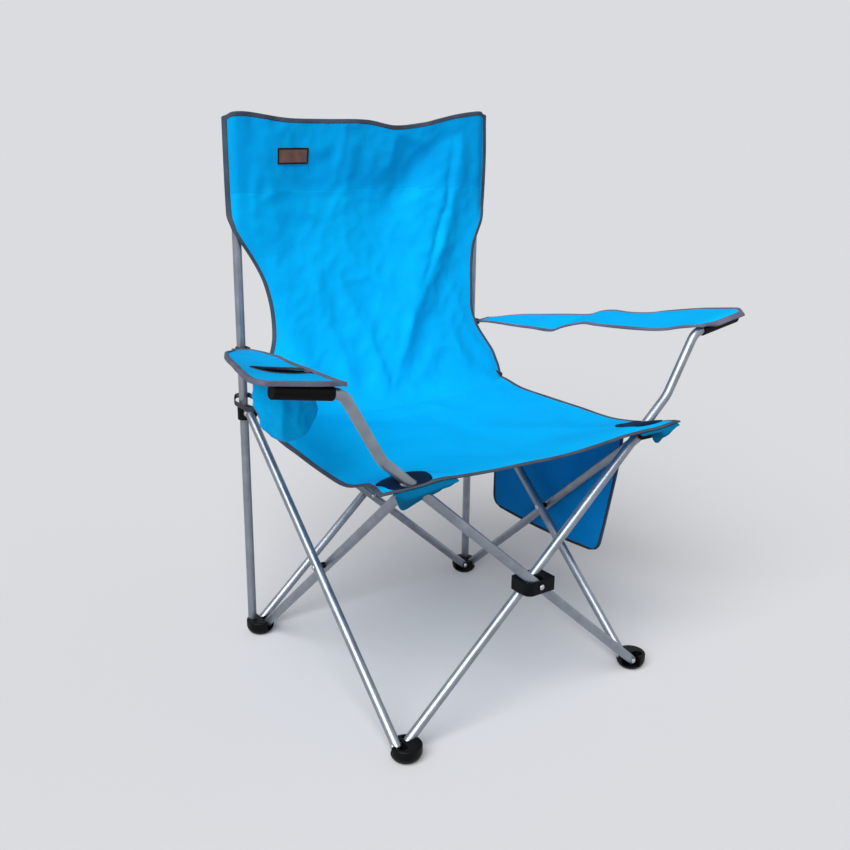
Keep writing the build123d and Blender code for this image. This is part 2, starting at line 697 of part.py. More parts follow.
# Armrests: tilted sheets from the loop on the upright to the arm bar, the right one with a cup holder
def arm_plane(hand):
    """Underside of an armrest, which rests on the sleeve of its arm bar."""
    bar_end = bar_frames[hand][0]
    front_height = bar_end.Z + sleeve_radius / cos(radians(bar_rise_angle)) + flat_gap
    rear_x, rear_y = upright_x + arm_rear_outset, upright_y - arm_rear_forward
    rear_height = arm_rear_height + arm_side_slope * (abs(bar_end.X) - rear_x)
    length_slope = (front_height - rear_height) / (bar_end.Y - rear_y)
    return Plane(
        origin=(hand * rear_x, rear_y, arm_rear_height),
        x_dir=(1, 0, hand * arm_side_slope),
        z_dir=(-hand * arm_side_slope, -length_slope, 1),
    )


arm_front_outer = bar_frames[1][0].X + arm_end_overhang
cup_x = cup_inset - arm_front_outer
cup_y = -half + cup_back
for name, hand in (("left", 1), ("right", -1)):
    front = -half + hand * plane_offset - arm_front_overhang
    outline = [
        (upright_x - arm_back_inset, arm_back_edge),
        (upright_x + arm_back_outset, arm_back_edge),
        (upright_x + arm_elbow_outset, upright_y - arm_elbow_forward),
        (arm_front_outer - arm_hip_inset, -half + arm_hip_back),
        (arm_front_outer, front),
        (arm_front_outer - arm_front_width, front),
        (upright_x + arm_inner_knee_outset, upright_y - arm_inner_knee_forward),
    ]
    with BuildPart() as armrest:
        with BuildSketch(Plane.XY) as arm_outline:
            with BuildLine():
                Polyline(*[(hand * x, y) for x, y in outline], close=True)
            make_face()
            fillet(arm_outline.vertices(), radius=arm_corner_radius)
        extrude(amount=back_top)
        with BuildSketch(arm_plane(hand)):
            Rectangle(2 * back_top, 2 * back_top)
        extrude(amount=arm_cloth, mode=Mode.INTERSECT)
        if hand < 0:
            with BuildSketch(Plane(origin=(cup_x, cup_y, 0))):
                Circle(cup_radius - cloth)
            extrude(amount=back_top, mode=Mode.SUBTRACT)
    save(armrest.part, f"{name}_armrest")

with BuildPart() as cup_bag:
    cup_bottom = arm_rear_height - cup_bottom_drop
    cup_cone_top = cup_bottom + cup_cone_height
    with BuildSketch(Plane(origin=(cup_x, cup_y, 0), x_dir=(1, 0, 0), z_dir=(0, -1, 0))):
        with BuildLine():
            Polyline(
                (0, cup_bottom),
                (cup_bottom_radius, cup_bottom),
                (cup_radius, cup_cone_top),
                (cup_radius - cloth, cup_cone_top),
                (cup_bottom_radius - cloth, cup_bottom + cloth),
                (0, cup_bottom + cloth),
                close=True,
            )
        make_face()
    revolve(axis=Axis((cup_x, cup_y, 0), (0, 0, 1)))
    split(bisect_by=arm_plane(-1), keep=Keep.BOTTOM)
save(cup_bag.part, "cup_bag")

# Side pocket: a flat bag on the seat's left edge, open at the top
pocket_x = seat_half_width + pocket_gap
pocket_rear = upright_y - pocket_rear_forward
pocket_top = seat_front_height - pocket_top_drop
pocket_bottom = pocket_top - pocket_height
with BuildPart() as side_pocket:
    pocket_plane = Plane(origin=(pocket_x, 0, 0), x_dir=(0, 1, 0), z_dir=(1, 0, 0))
    for start, depth, inset, mode in (
        (0, pocket_depth, 0, Mode.ADD),
        (cloth, pocket_depth - 2 * cloth, cloth, Mode.SUBTRACT),
    ):
        with BuildSketch(pocket_plane.offset(start)) as outline_sketch:
            with BuildLine():
                Polyline(
                    (-half + pocket_front_top + inset, pocket_top + inset),
                    (-half + pocket_front_bottom + inset, pocket_bottom + inset),
                    (pocket_rear - inset, pocket_bottom + inset),
                    (pocket_rear - inset, pocket_top + inset),
                    close=True,
                )
            make_face()
            fillet(outline_sketch.vertices().group_by(Axis.Z)[0], radius=pocket_corner - inset)
        extrude(amount=depth, mode=mode)
save(side_pocket.part, "side_pocket")
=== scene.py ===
# Folding camp chair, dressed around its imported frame. Metres, +Z up, the sitter looks along -Y.
import math

import bmesh
import bpy
from mathutils import Matrix, Vector, noise


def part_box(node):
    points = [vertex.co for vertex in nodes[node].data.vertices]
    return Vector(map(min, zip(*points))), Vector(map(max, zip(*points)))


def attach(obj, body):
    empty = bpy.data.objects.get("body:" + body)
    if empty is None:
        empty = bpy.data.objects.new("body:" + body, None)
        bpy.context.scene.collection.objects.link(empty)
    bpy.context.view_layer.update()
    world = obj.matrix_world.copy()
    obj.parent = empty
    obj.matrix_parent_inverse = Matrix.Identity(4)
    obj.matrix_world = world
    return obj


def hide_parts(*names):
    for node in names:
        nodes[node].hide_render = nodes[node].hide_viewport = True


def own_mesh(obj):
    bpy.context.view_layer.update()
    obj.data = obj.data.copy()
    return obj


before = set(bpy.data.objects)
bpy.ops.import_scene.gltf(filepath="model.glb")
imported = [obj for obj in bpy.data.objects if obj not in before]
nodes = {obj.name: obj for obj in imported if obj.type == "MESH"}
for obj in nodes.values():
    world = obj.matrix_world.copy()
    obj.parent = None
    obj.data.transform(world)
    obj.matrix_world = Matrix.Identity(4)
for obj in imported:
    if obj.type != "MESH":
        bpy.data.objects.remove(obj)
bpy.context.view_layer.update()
mm = 0.001
print("stage: frame loaded with", len(nodes), "nodes")


# Small helpers

def hexColor(code, alpha=1.0):
    channels = [int(code[i:i + 2], 16) / 255 for i in (1, 3, 5)]
    linear = [c / 12.92 if c <= 0.04045 else ((c + 0.055) / 1.055) ** 2.4 for c in channels]
    return (*linear, alpha)


def addNode(tree, kind, settings=None, **links):
    node = tree.nodes.new(kind)
    for key, value in (settings or {}).items():
        if key in node.inputs:
            node.inputs[key].default_value = value
        else:
            setattr(node, key, value)
    for socket, source in links.items():
        tree.links.new(source, node.inputs[socket.replace("_", " ")])
    return node


def smoothStep(low, high, value):
    t = min(max((value - low) / (high - low), 0.0), 1.0)
    return t * t * (3 - 2 * t)


def through(points, at):
    # smooth line through a few (position, value) points, level at both ends
    if at <= points[0][0]:
        return points[0][1]
    if at >= points[-1][0]:
        return points[-1][1]
    last = len(points) - 1
    i = max(k for k in range(last) if points[k][0] <= at)
    (x0, y0), (x1, y1) = points[i], points[i + 1]

    def slope(k):
        if k in (0, last):
            return 0.0
        return (points[k + 1][1] - points[k - 1][1]) / (points[k + 1][0] - points[k - 1][0])

    span = x1 - x0
    t = (at - x0) / span
    rise = y0 * (1 + 2 * t) * (1 - t) ** 2 + y1 * t * t * (3 - 2 * t)
    return rise + span * (slope(i) * t * (1 - t) ** 2 - slope(i + 1) * t * t * (1 - t))


def ripple(x, y, size, seed):
    return noise.noise(Vector((x / size + seed, y / size - seed, seed * 1.7)))


def foldSum(folds, x, y):
    # each fold is a ridge along a line of (x, y, height), with its own width on either side
    total = 0.0
    for line, leftWidth, rightWidth in folds:
        nearest = None
        for (x0, y0, h0), (x1, y1, h1) in zip(line, line[1:]):
            dx, dy = x1 - x0, y1 - y0
            t = min(max(((x - x0) * dx + (y - y0) * dy) / (dx * dx + dy * dy), 0.0), 1.0)
            px, py = x - x0 - dx * t, y - y0 - dy * t
            gap = math.hypot(px, py)
            if nearest is None or gap < nearest[0]:
                nearest = (gap, px * dy - py * dx, h0 + (h1 - h0) * t)
        gap, side, height = nearest
        width = leftWidth if side > 0 else rightWidth
        total += height * math.exp(-(gap / width) ** 1.5)
    return total


def steps(count, edge):
    # parameter values from 0 to 1 with a narrow cell of that share at each end
    inner = [edge + (1 - 2 * edge) * i / count for i in range(count + 1)]
    return [0.0] + inner + [1.0]


def newPiece(name, bm, materials, smooth=True):
    mesh = bpy.data.meshes.new(name)
    for edge in bm.edges:
        edge.smooth = not edge.is_boundary
    bm.to_mesh(mesh)
    bm.free()
    for material in materials:
        mesh.materials.append(material)
    for polygon in mesh.polygons:
        polygon.use_smooth = smooth
    piece = bpy.data.objects.new(name, mesh)
    bpy.context.scene.collection.objects.link(piece)
    return piece


def thicken(piece, thickness, offset=0.0):
    wall = piece.modifiers.new("wall", "SOLIDIFY")
    wall.thickness = thickness
    wall.offset = offset
    wall.use_even_offset = False
    return piece


def roundEdges(piece, width, segments=2):
    bevel = piece.modifiers.new("edges", "BEVEL")
    bevel.width = width
    bevel.segments = segments
    bevel.limit_method = "ANGLE"
    bevel.angle_limit = math.radians(40)
    return piece


def sheetMesh(cols, rows, size, place):
    # a grid of cloth: place(u, v) gives each point, and the map keeps the cloth's own metres
    bm = bmesh.new()
    across, along = len(cols) - 1, len(rows) - 1
    bmesh.ops.create_grid(bm, x_segments=across, y_segments=along, size=0.5)
    layer = bm.loops.layers.uv.new("cloth")
    spots = {}
    for vert in bm.verts:
        u = cols[round((vert.co.x + 0.5) * across)]
        v = rows[round((vert.co.y + 0.5) * along)]
        spots[vert] = (u, v)
        vert.co = place(u, v)
    for face in bm.faces:
        for loop in face.loops:
            u, v = spots[loop.vert]
            loop[layer].uv = (u * size[0], v * size[1])
    return bm, spots


def rimOf(name, bm, spots, cols, rows, edges, materials, thickness):
    # binding tape: the outermost cells of a sheet, folded over its edge
    rim = bm.copy()
    rim.verts.ensure_lookup_table()
    bm.verts.ensure_lookup_table()
    place = {rim.verts[vert.index]: spots[vert] for vert in bm.verts}
    tests = {
        "left": lambda u, v: u <= cols[1] + 1e-6,
        "right": lambda u, v: u >= cols[-2] - 1e-6,
        "low": lambda u, v: v <= rows[1] + 1e-6,
        "high": lambda u, v: v >= rows[-2] - 1e-6,
    }
    kept = [tests[edge] for edge in edges]
    away = [f for f in rim.faces if not any(all(t(*place[v]) for v in f.verts) for t in kept)]
    inward = {spot: vert for vert, spot in spots.items()}
    moved = {}
    for vert, (u, v) in spots.items():  # the sheet itself ends inside its binding
        u1 = cols[1] if "left" in edges and u == cols[0] else cols[-2] if "right" in edges and u == cols[-1] else u
        v1 = rows[1] if "low" in edges and v == rows[0] else rows[-2] if "high" in edges and v == rows[-1] else v
        if (u1, v1) != (u, v):
            moved[vert] = vert.co.lerp(inward[u1, v1].co, 0.5)
    for vert, spot in moved.items():
        vert.co = spot
    bmesh.ops.delete(rim, geom=away, context="FACES")
    piece = newPiece(name, rim, materials)
    thicken(piece, thickness)
    return roundEdges(piece, thickness * 0.45, 2)


def openHole(bm, spots, centre, radiusX, radiusY):
    # takes out the cloth inside an oval and brings the new edge onto it
    cx, cy = centre
    away = []
    for face in bm.faces:
        middle = face.calc_center_median()
        if ((middle.x - cx) / radiusX) ** 2 + ((middle.y - cy) / radiusY) ** 2 < 1:
            away.append(face)
    bmesh.ops.delete(bm, geom=away, context="FACES")
    for vert in bm.verts:
        reach = math.hypot((vert.co.x - cx) / radiusX, (vert.co.y - cy) / radiusY)
        if vert.is_boundary and reach < 1.45:
            vert.co.x = cx + (vert.co.x - cx) / reach
            vert.co.y = cy + (vert.co.y - cy) / reach
    for vert in [v for v in spots if not v.is_valid]:
        del spots[vert]


def tubeAlong(name, points, radius, material, cyclic=False, sides=3):
    curve = bpy.data.curves.new(name, "CURVE")
    curve.dimensions = "3D"
    curve.bevel_depth = radius
    curve.bevel_resolution = sides
    curve.use_fill_caps = True
    spline = curve.splines.new("POLY")
    spline.points.add(len(points) - 1)
    for point, spot in zip(spline.points, points):
        point.co = (*spot, 1)
    spline.use_cyclic_u = cyclic
    maker = bpy.data.objects.new(name + "Route", curve)
    mesh = bpy.data.meshes.new_from_object(maker)
    bpy.data.objects.remove(maker)
    mesh.name = name
    mesh.materials.clear()
    mesh.materials.append(material)
    for polygon in mesh.polygons:
        polygon.use_smooth = True
    piece = bpy.data.objects.new(name, mesh)
    bpy.context.scene.collection.objects.link(piece)
    return piece


# Materials

def newMaterial(name):
    material = bpy.data.materials.new(name)
    material.use_nodes = True
    tree = material.node_tree
    return material, tree, tree.nodes["Principled BSDF"]


def noiseNode(tree, place, size, detail):
    # noise on the object's own metres, with spots of that size
    return addNode(tree, "ShaderNodeTexNoise", {"Scale": 1 / size, "Detail": detail}, Vector=place.outputs["Object"])


def clothMaterial(name, warm, cool, threadSize, roughness):
    # polyester canvas, woven and coated: an even matt colour, fine threads, and faint creases from packing
    material, tree, shader = newMaterial(name)
    threadScale = 0.314 / threadSize  # the wave's period is 0.314 over its scale
    uv = addNode(tree, "ShaderNodeTexCoord")
    place = addNode(tree, "ShaderNodeMapping", {"Scale": (1, 1, 1)}, Vector=uv.outputs["UV"])
    weft, warp = (addNode(tree, "ShaderNodeTexWave",
                          {"Scale": threadScale, "Distortion": 0.6, "Detail Scale": 40.0, "bands_direction": way},
                          Vector=place.outputs["Vector"]) for way in ("X", "Y"))
    weave = addNode(tree, "ShaderNodeMath", {"operation": "MULTIPLY"})
    tree.links.new(weft.outputs["Fac"], weave.inputs[0])
    tree.links.new(warp.outputs["Fac"], weave.inputs[1])
    cloud = addNode(tree, "ShaderNodeTexNoise", {"Scale": 1 / (111.1 * mm), "Detail": 5.0, "Roughness": 0.55},
                    Vector=uv.outputs["Object"])
    crease = addNode(tree, "ShaderNodeTexNoise", {"Scale": 1 / (38.46 * mm), "Detail": 3.0, "Distortion": 1.2},
                     Vector=uv.outputs["Object"])
    tone = addNode(tree, "ShaderNodeValToRGB", {}, Fac=cloud.outputs["Fac"])
    tone.color_ramp.elements[0].position = 0.32
    tone.color_ramp.elements[0].color = hexColor(cool)
    tone.color_ramp.elements[1].position = 0.68
    tone.color_ramp.elements[1].color = hexColor(warm)
    thread = addNode(tree, "ShaderNodeMix", {"data_type": "RGBA", "blend_type": "MULTIPLY"})
    thread.inputs[0].default_value = 0.16
    tree.links.new(tone.outputs["Color"], thread.inputs[6])
    tree.links.new(weave.outputs["Value"], thread.inputs[7])
    fine = addNode(tree, "ShaderNodeBump", {"Strength": 0.16, "Distance": 0.0006}, Height=weave.outputs["Value"])
    soft = addNode(tree, "ShaderNodeBump", {"Strength": 0.22, "Distance": 0.003}, Height=crease.outputs["Fac"],
                   Normal=fine.outputs["Normal"])
    tree.links.new(thread.outputs[2], shader.inputs["Base Color"])
    tree.links.new(soft.outputs["Normal"], shader.inputs["Normal"])
    shader.inputs["Roughness"].default_value = roughness
    shader.inputs["Specular IOR Level"].default_value = 0.04
    return material


def tapeMaterial(name, light, dark):
    # woven polyester binding: ribbed across, dull, with a worn paler edge here and there
    material, tree, shader = newMaterial(name)
    place = addNode(tree, "ShaderNodeTexCoord")
    # ribs of 2.4 mm, coarser than the real 1 mm so that they show
    grain = noiseNode(tree, place, 2.381 * mm, 2.0)
    cloud = noiseNode(tree, place, 45.45 * mm, 3.0)
    both = addNode(tree, "ShaderNodeMath", {"operation": "MULTIPLY_ADD"})
    tree.links.new(grain.outputs["Fac"], both.inputs[0])
    both.inputs[1].default_value = 0.5
    tree.links.new(cloud.outputs["Fac"], both.inputs[2])
    tone = addNode(tree, "ShaderNodeValToRGB", {}, Fac=both.outputs["Value"])
    tone.color_ramp.elements[0].position = 0.5
    tone.color_ramp.elements[0].color = hexColor(dark)
    tone.color_ramp.elements[1].position = 0.95
    tone.color_ramp.elements[1].color = hexColor(light)
    bump = addNode(tree, "ShaderNodeBump", {"Strength": 0.35, "Distance": 0.0006}, Height=grain.outputs["Fac"])
    tree.links.new(tone.outputs["Color"], shader.inputs["Base Color"])
    tree.links.new(bump.outputs["Normal"], shader.inputs["Normal"])
    shader.inputs["Roughness"].default_value = 0.85
    shader.inputs["Specular IOR Level"].default_value = 0.1
    return material


def tubeMaterial(name, light, dark):
    # silver powder coat on steel tube: metal flake in clear resin, so broad bright highlights along each tube
    material, tree, shader = newMaterial(name)
    place = addNode(tree, "ShaderNodeTexCoord")
    # flakes of 0.7 mm, coarser than the real 0.05 mm, which could not show
    flake = noiseNode(tree, place, 0.7143 * mm, 1.0)
    wear = noiseNode(tree, place, 28.57 * mm, 4.0)
    tone = addNode(tree, "ShaderNodeValToRGB", {}, Fac=wear.outputs["Fac"])
    tone.color_ramp.elements[0].position = 0.35
    tone.color_ramp.elements[0].color = hexColor(dark)
    tone.color_ramp.elements[1].position = 0.7
    tone.color_ramp.elements[1].color = hexColor(light)
    rough = addNode(tree, "ShaderNodeMapRange", {"To Min": 0.32, "To Max": 0.44}, Value=wear.outputs["Fac"])
    bump = addNode(tree, "ShaderNodeBump", {"Strength": 0.02, "Distance": 0.0003}, Height=flake.outputs["Fac"])
    tree.links.new(tone.outputs["Color"], shader.inputs["Base Color"])
    tree.links.new(rough.outputs["Result"], shader.inputs["Roughness"])
    tree.links.new(bump.outputs["Normal"], shader.inputs["Normal"])
    shader.inputs["Metallic"].default_value = 0.85
    return material


def plasticMaterial(name, light, dark, roughness):
    # moulded polypropylene: nearly black, a fine spark-eroded grain and rubbed high spots
    material, tree, shader = newMaterial(name)
    place = addNode(tree, "ShaderNodeTexCoord")
    # grain of 1.1 mm, coarser than the real 0.2 mm so that it shows
    grain = noiseNode(tree, place, 1.111 * mm, 2.0)
    rub = noiseNode(tree, place, 16.67 * mm, 4.0)
    tone = addNode(tree, "ShaderNodeValToRGB", {}, Fac=rub.outputs["Fac"])
    tone.color_ramp.elements[0].position = 0.4
    tone.color_ramp.elements[0].color = hexColor(dark)
    tone.color_ramp.elements[1].position = 0.75
    tone.color_ramp.elements[1].color = hexColor(light)
    bump = addNode(tree, "ShaderNodeBump", {"Strength": 0.12, "Distance": 0.0004}, Height=grain.outputs["Fac"])
    tree.links.new(tone.outputs["Color"], shader.inputs["Base Color"])
    tree.links.new(bump.outputs["Normal"], shader.inputs["Normal"])
    shader.inputs["Roughness"].default_value = roughness
    shader.inputs["Specular IOR Level"].default_value = 0.1
    return material


def rivetMaterial(name, light, dark):
    # zinc-plated steel: pale metal with a cloudy, slightly rough plate
    material, tree, shader = newMaterial(name)
    place = addNode(tree, "ShaderNodeTexCoord")
    cloud = noiseNode(tree, place, 4.167 * mm, 3.0)
    tone = addNode(tree, "ShaderNodeValToRGB", {}, Fac=cloud.outputs["Fac"])
    tone.color_ramp.elements[0].color = hexColor(dark)
    tone.color_ramp.elements[1].color = hexColor(light)
    tree.links.new(tone.outputs["Color"], shader.inputs["Base Color"])
    shader.inputs["Metallic"].default_value = 1.0
    shader.inputs["Roughness"].default_value = 0.32
    return material


def leatherMaterial(name, light, dark):
    # split leather: brown, pebbled grain and darker pores
    material, tree, shader = newMaterial(name)
    place = addNode(tree, "ShaderNodeTexCoord")
    # pebbles of 1.4 mm, coarser than the real 0.6 mm so that they show
    pebble = addNode(tree, "ShaderNodeTexVoronoi", {"Scale": 1 / (1.4286 * mm)}, Vector=place.outputs["Object"])
    cloud = noiseNode(tree, place, 14.286 * mm, 5.0)
    tone = addNode(tree, "ShaderNodeValToRGB", {}, Fac=cloud.outputs["Fac"])
    tone.color_ramp.elements[0].position = 0.35
    tone.color_ramp.elements[0].color = hexColor(dark)
    tone.color_ramp.elements[1].position = 0.7
    tone.color_ramp.elements[1].color = hexColor(light)
    bump = addNode(tree, "ShaderNodeBump", {"Strength": 0.3, "Distance": 0.0006}, Height=pebble.outputs["Distance"])
    tree.links.new(tone.outputs["Color"], shader.inputs["Base Color"])
    tree.links.new(bump.outputs["Normal"], shader.inputs["Normal"])
    shader.inputs["Roughness"].default_value = 0.55
    return material


threadSize = 1.5 * mm  # coarser than the real 0.4 mm thread so that it shows
blueCanvas = clothMaterial("blueCanvas", "#00b1f2", "#00a9ed", threadSize, 0.8)
doubleCanvas = clothMaterial("doubleCanvas", "#00a4e6", "#009ce1", threadSize, 0.8)  # two layers, along the back's top
blackCanvas = clothMaterial("blackCanvas", "#0b2540", "#081d34", threadSize, 0.7)
paintedShadeFlapCanvas = clothMaterial("paintedShadeFlapCanvas", "#006a97", "#00628d", threadSize, 0.8)  # darker canvas for the corner flaps: painted shade, as they hang in the seat's shadow
paintedShadePocketCanvas = clothMaterial("paintedShadePocketCanvas", "#0688d6", "#0480ca", threadSize, 0.8)  # darker canvas for the pocket's inner leaf: painted shade, as it hangs under the seat
# near-black cloth for the cup bag's inside: painted shade of its hollow
paintedShadeBagInside = clothMaterial("paintedShadeBagInside", "#050d18", "#040a13", threadSize, 0.8)
greyBinding = tapeMaterial("greyBinding", "#4b515d", "#393e49")
paleBinding = tapeMaterial("paleBinding", "#676779", "#4f4f60")
darkBinding = tapeMaterial("darkBinding", "#3f4046", "#2b2c31")
greyWebbing = tapeMaterial("greyWebbing", "#45464e", "#2f3036")
silverCoat = tubeMaterial("silverCoat", "#949aa3", "#828891")
blackPlastic = plasticMaterial("blackPlastic", "#090a0d", "#050607", 0.45)
blackGrip = plasticMaterial("blackGrip", "#070608", "#040304", 0.6)
zincPlate = rivetMaterial("zincPlate", "#d0d2d4", "#9a9c9f")
brownLeather = leatherMaterial("brownLeather", "#6f483c", "#54352c")
darkStitch = tapeMaterial("darkStitch", "#2a1f1d", "#191211")
print("stage: materials made")

# Finishes on the rigid pieces, which keep their own shape

rigidFinish = [
    ("_rivets", zincPlate), ("_rivet", zincPlate), ("_tube", silverCoat), ("_upright", silverCoat),
    ("_foot", blackPlastic), ("_slider", blackPlastic), ("_bracket", blackPlastic), ("front_hub", blackPlastic),
    ("_spacer", blackPlastic), ("_sleeve", blackGrip), ("_cap", blackPlastic),
]
for nodeName, node in nodes.items():
    for ending, finish in rigidFinish:
        if nodeName.endswith(ending):
            node.data.materials.clear()
            node.data.materials.append(finish)
            break


# Back panel

back = {
    "poleX": 261 * mm, "poleY": 261 * mm, "frontY": 250.4 * mm, "leanFrom": 790 * mm, "lean": 1.486,
    "creaseY": 119 * mm, "leftCornerY": 166 * mm, "rightCornerY": 208 * mm, "creaseZ": 459 * mm, "creaseDip": 11 * mm,
    "bendHeight": 62 * mm, "bendReach": 34 * mm, "bendShare": 0.15, "thickness": 1.5 * mm, "stripTop": 950 * mm,
    "doubleFrom": 832 * mm, "stripEdge": {1: 282, -1: 275.5},
    "rightSide": [(459, 266), (490, 257), (523, 240), (557, 222.4), (577, 216), (598, 213.6), (620, 213.3),
                  (641, 215), (662, 218.8), (683, 224.5), (705, 234.2), (726, 245.8), (768, 271.9), (780, 275.5),
                  (798, 279), (965, 280)],
    "leftSide": [(459, 268), (482, 267.5), (495, 264.5), (507, 262), (519, 257), (532, 249.5), (560, 234),
                 (585, 227), (604, 226.4), (627, 230.7), (650, 234.7), (674, 238.3), (697, 243.5), (720, 250),
                 (743, 262), (766, 275), (780, 281.5), (800, 286), (895, 288.5), (965, 286.5)],
    "top": [(-281, 958), (-268, 966), (-238, 967), (-200, 962), (-157, 957.5), (-90, 957), (7, 956.7), (62, 947.7),
            (124, 953), (171, 963), (205, 970), (235, 974), (262, 975.5), (283, 969)],
    "folds": [  # lines of x, z and height in millimetres from the top down, then the widths to the left and right
        ([(224, 962, 5), (193, 833, 17), (152, 723, 22), (81, 615, 17), (8, 508, 6)], 66, 30),
        ([(205, 930, -3), (176, 799, -7), (125, 693, -6), (95, 640, 0)], 8, 10),
        ([(205, 940, -6), (120, 872, -19), (60, 806, -14), (25, 765, 0)], 56, 38),
        ([(-42, 950, 2.5), (-57, 890, 4), (-70, 834, 0.5)], 9, 12),
        ([(-20, 948, 2), (-44, 850, 3), (-52, 740, 0.5)], 10, 14),
        ([(-222, 900, 2), (-229, 840, 5), (-233, 784, 3), (-215, 720, 0)], 10, 17),
        ([(-205, 930, 2), (-200, 830, 4), (-185, 760, 1)], 16, 20),
        ([(-214, 650, 3), (-200, 590, 7), (-180, 500, 4)], 20, 34),
        ([(-120, 800, 1), (-130, 680, 4), (-90, 520, 2)], 60, 60),
        ([(-60, 660, 1), (-26, 545, 5), (-10, 478, 4)], 22, 10),
        ([(88, 650, 1), (45, 545, 5), (2, 478, 4)], 10, 24),
        ([(120, 560, 2), (80, 500, 4), (40, 470, 2)], 12, 20),
        ([(168, 640, 2), (160, 570, 8), (178, 480, 6)], 46, 26),
        ([(-279, 832, 1.4), (279, 832, 1.4)], 4, 4),
    ],
}


def backHalf(z, hand):
    return through(back["leftSide" if hand > 0 else "rightSide"], z / mm) * mm


def creaseLine(share):
    # where back and seat meet, from one rear corner to the other
    dip = 1 - share * share
    x = share * backHalf(back["creaseZ"], share)
    cornerY = back["leftCornerY"] if share > 0 else back["rightCornerY"]
    y = back["creaseY"] + (cornerY - back["creaseY"]) * abs(share) ** 4.5
    return Vector((x, y, back["creaseZ"] - back["creaseDip"] * dip))


def bendReach(share):
    return back["bendReach"] * (1 - abs(share) ** 4.5)


def backLine(share, z):
    # how far forward the unfolded panel lies at a height
    low = creaseLine(share)
    rise = min(max((z - low.z) / (back["leanFrom"] - low.z), 0.0), 1.0)
    foot = low.y + bendReach(share)
    return back["frontY"] - (back["frontY"] - foot) * (1 - rise) ** back["lean"]


def backProfile(share, v):
    # the seat's cloth turns up into the back in a soft bend, then goes on to the top edge
    low = creaseLine(share)
    bendZ = low.z + back["bendHeight"]
    topZ = through(back["top"], share * back["top"][-1][0]) * mm
    if v >= back["bendShare"]:
        z = bendZ + (topZ - bendZ) * (v - back["bendShare"]) / (1 - back["bendShare"])
        return backLine(share, z), z
    t = v / back["bendShare"]
    knee = Vector((0, low.y + bendReach(share) + 2 * mm, low.z + 9 * mm))
    end = Vector((0, backLine(share, bendZ), bendZ))
    spot = low * (1 - t) ** 2 + knee * 2 * t * (1 - t) + end * t * t
    return spot.y, spot.z


def backPoint(u, v):
    share = 2 * u - 1
    y, z = backProfile(share, v)
    x = share * backHalf(z, share)
    beside = smoothStep(252 * mm, 279 * mm, abs(x)) * smoothStep(735 * mm, 800 * mm, z)
    push = foldSum(back["folds"], x / mm, z / mm) * mm - 5 * mm * math.exp(-((x + 70 * mm) / (120 * mm)) ** 2)
    push += (ripple(x, z, 0.09, 3.1) * 2.4 + ripple(x, z, 0.04, 7.7) * 0.8) * mm
    broadRidge = abs(ripple(x + 0.4 * z, z * 0.6, 0.075, 12.3))
    fineRidge = abs(ripple(x - 0.3 * z, z, 0.032, 15.1))
    push += (2.5 - 10 * broadRidge - 3 * fineRidge) * mm
    push *= (1 - abs(share) ** 10) * smoothStep(0.0, back["bendShare"], v)
    if push < 0:
        push *= 1 - smoothStep(225 * mm, 250 * mm, abs(x))
    lift = 0.35 * (1 - smoothStep(0.1, 0.6, v))
    out = Vector((0, -1, lift)).normalized()
    return Vector((x, y + (back["poleY"] - back["frontY"]) * beside ** 2.2, z)) + out * push


backCols = steps(108, 0.0152)
backRows = steps(110, 0.0155)
bm, spots = sheetMesh(backCols, backRows, (0.548, 0.53), backPoint)
backRim = rimOf("backBinding", bm, spots, backCols, backRows, ("left", "right", "high"), [greyBinding], 3.4 * mm)
for face in bm.faces:
    face.material_index = 1 if face.calc_center_median().z > back["doubleFrom"] else 0  # turned over along the top
backPanel = newPiece("backPanel", bm, [blueCanvas, doubleCanvas])
thicken(backPanel, back["thickness"])

# Rear strips that close the pole pockets: from the bound edge round behind the pole to a seam on the panel
poleStrips = []
for hand, word in ((1, "Left"), (-1, "Right")):
    def stripPoint(u, v, hand=hand):
        z = back["leanFrom"] + 16 * mm + (back["stripTop"] - back["leanFrom"] - 10 * mm) * v
        outer = back["stripEdge"][hand]
        x = through([(0, outer), (0.18, 272.5), (0.42, 261), (0.66, 249.5), (0.84, 240), (1, 231)], u) * mm
        y = through([(0, 262.6), (0.18, 269.5), (0.42, 272.6), (0.66, 269), (0.84, 258.5), (1, 253.4)], u) * mm
        return Vector((hand * x, y + 0.4 * mm * math.sin(40 * v), z))

    stripBm, _ = sheetMesh(steps(18, 0.02), steps(30, 0.04), (0.05, 0.17), stripPoint)
    bmesh.ops.recalc_face_normals(stripBm, faces=stripBm.faces)
    strip = newPiece("polePocket" + word, stripBm, [blueCanvas])
    poleStrips.append(thicken(strip, 1.2 * mm))

# Bare leather patch with its dark stitched border
label = {"x": -152 * mm, "z": 894 * mm, "halfX": 32 * mm, "halfZ": 14 * mm, "thickness": 1.2 * mm, "lift": 1.5 * mm,
         "borderLift": 1.9 * mm, "borderInset": 1.6 * mm, "border": 1.5 * mm}


def backSurfaceY(x, z):
    # the panel's front at a height: the right row is found by halving
    share = x / backHalf(z, x)
    low, high = back["bendShare"], 1.0
    for _ in range(24):
        middle = (low + high) / 2
        if backProfile(share, middle)[1] < z:
            low = middle
        else:
            high = middle
    return backPoint((share + 1) / 2, low).y


def labelPoint(u, v, lift, shrink):
    x = label["x"] + (2 * u - 1) * (label["halfX"] - shrink)
    z = label["z"] + (2 * v - 1) * (label["halfZ"] - shrink)
    return Vector((x, backSurfaceY(x, z) - lift, z))


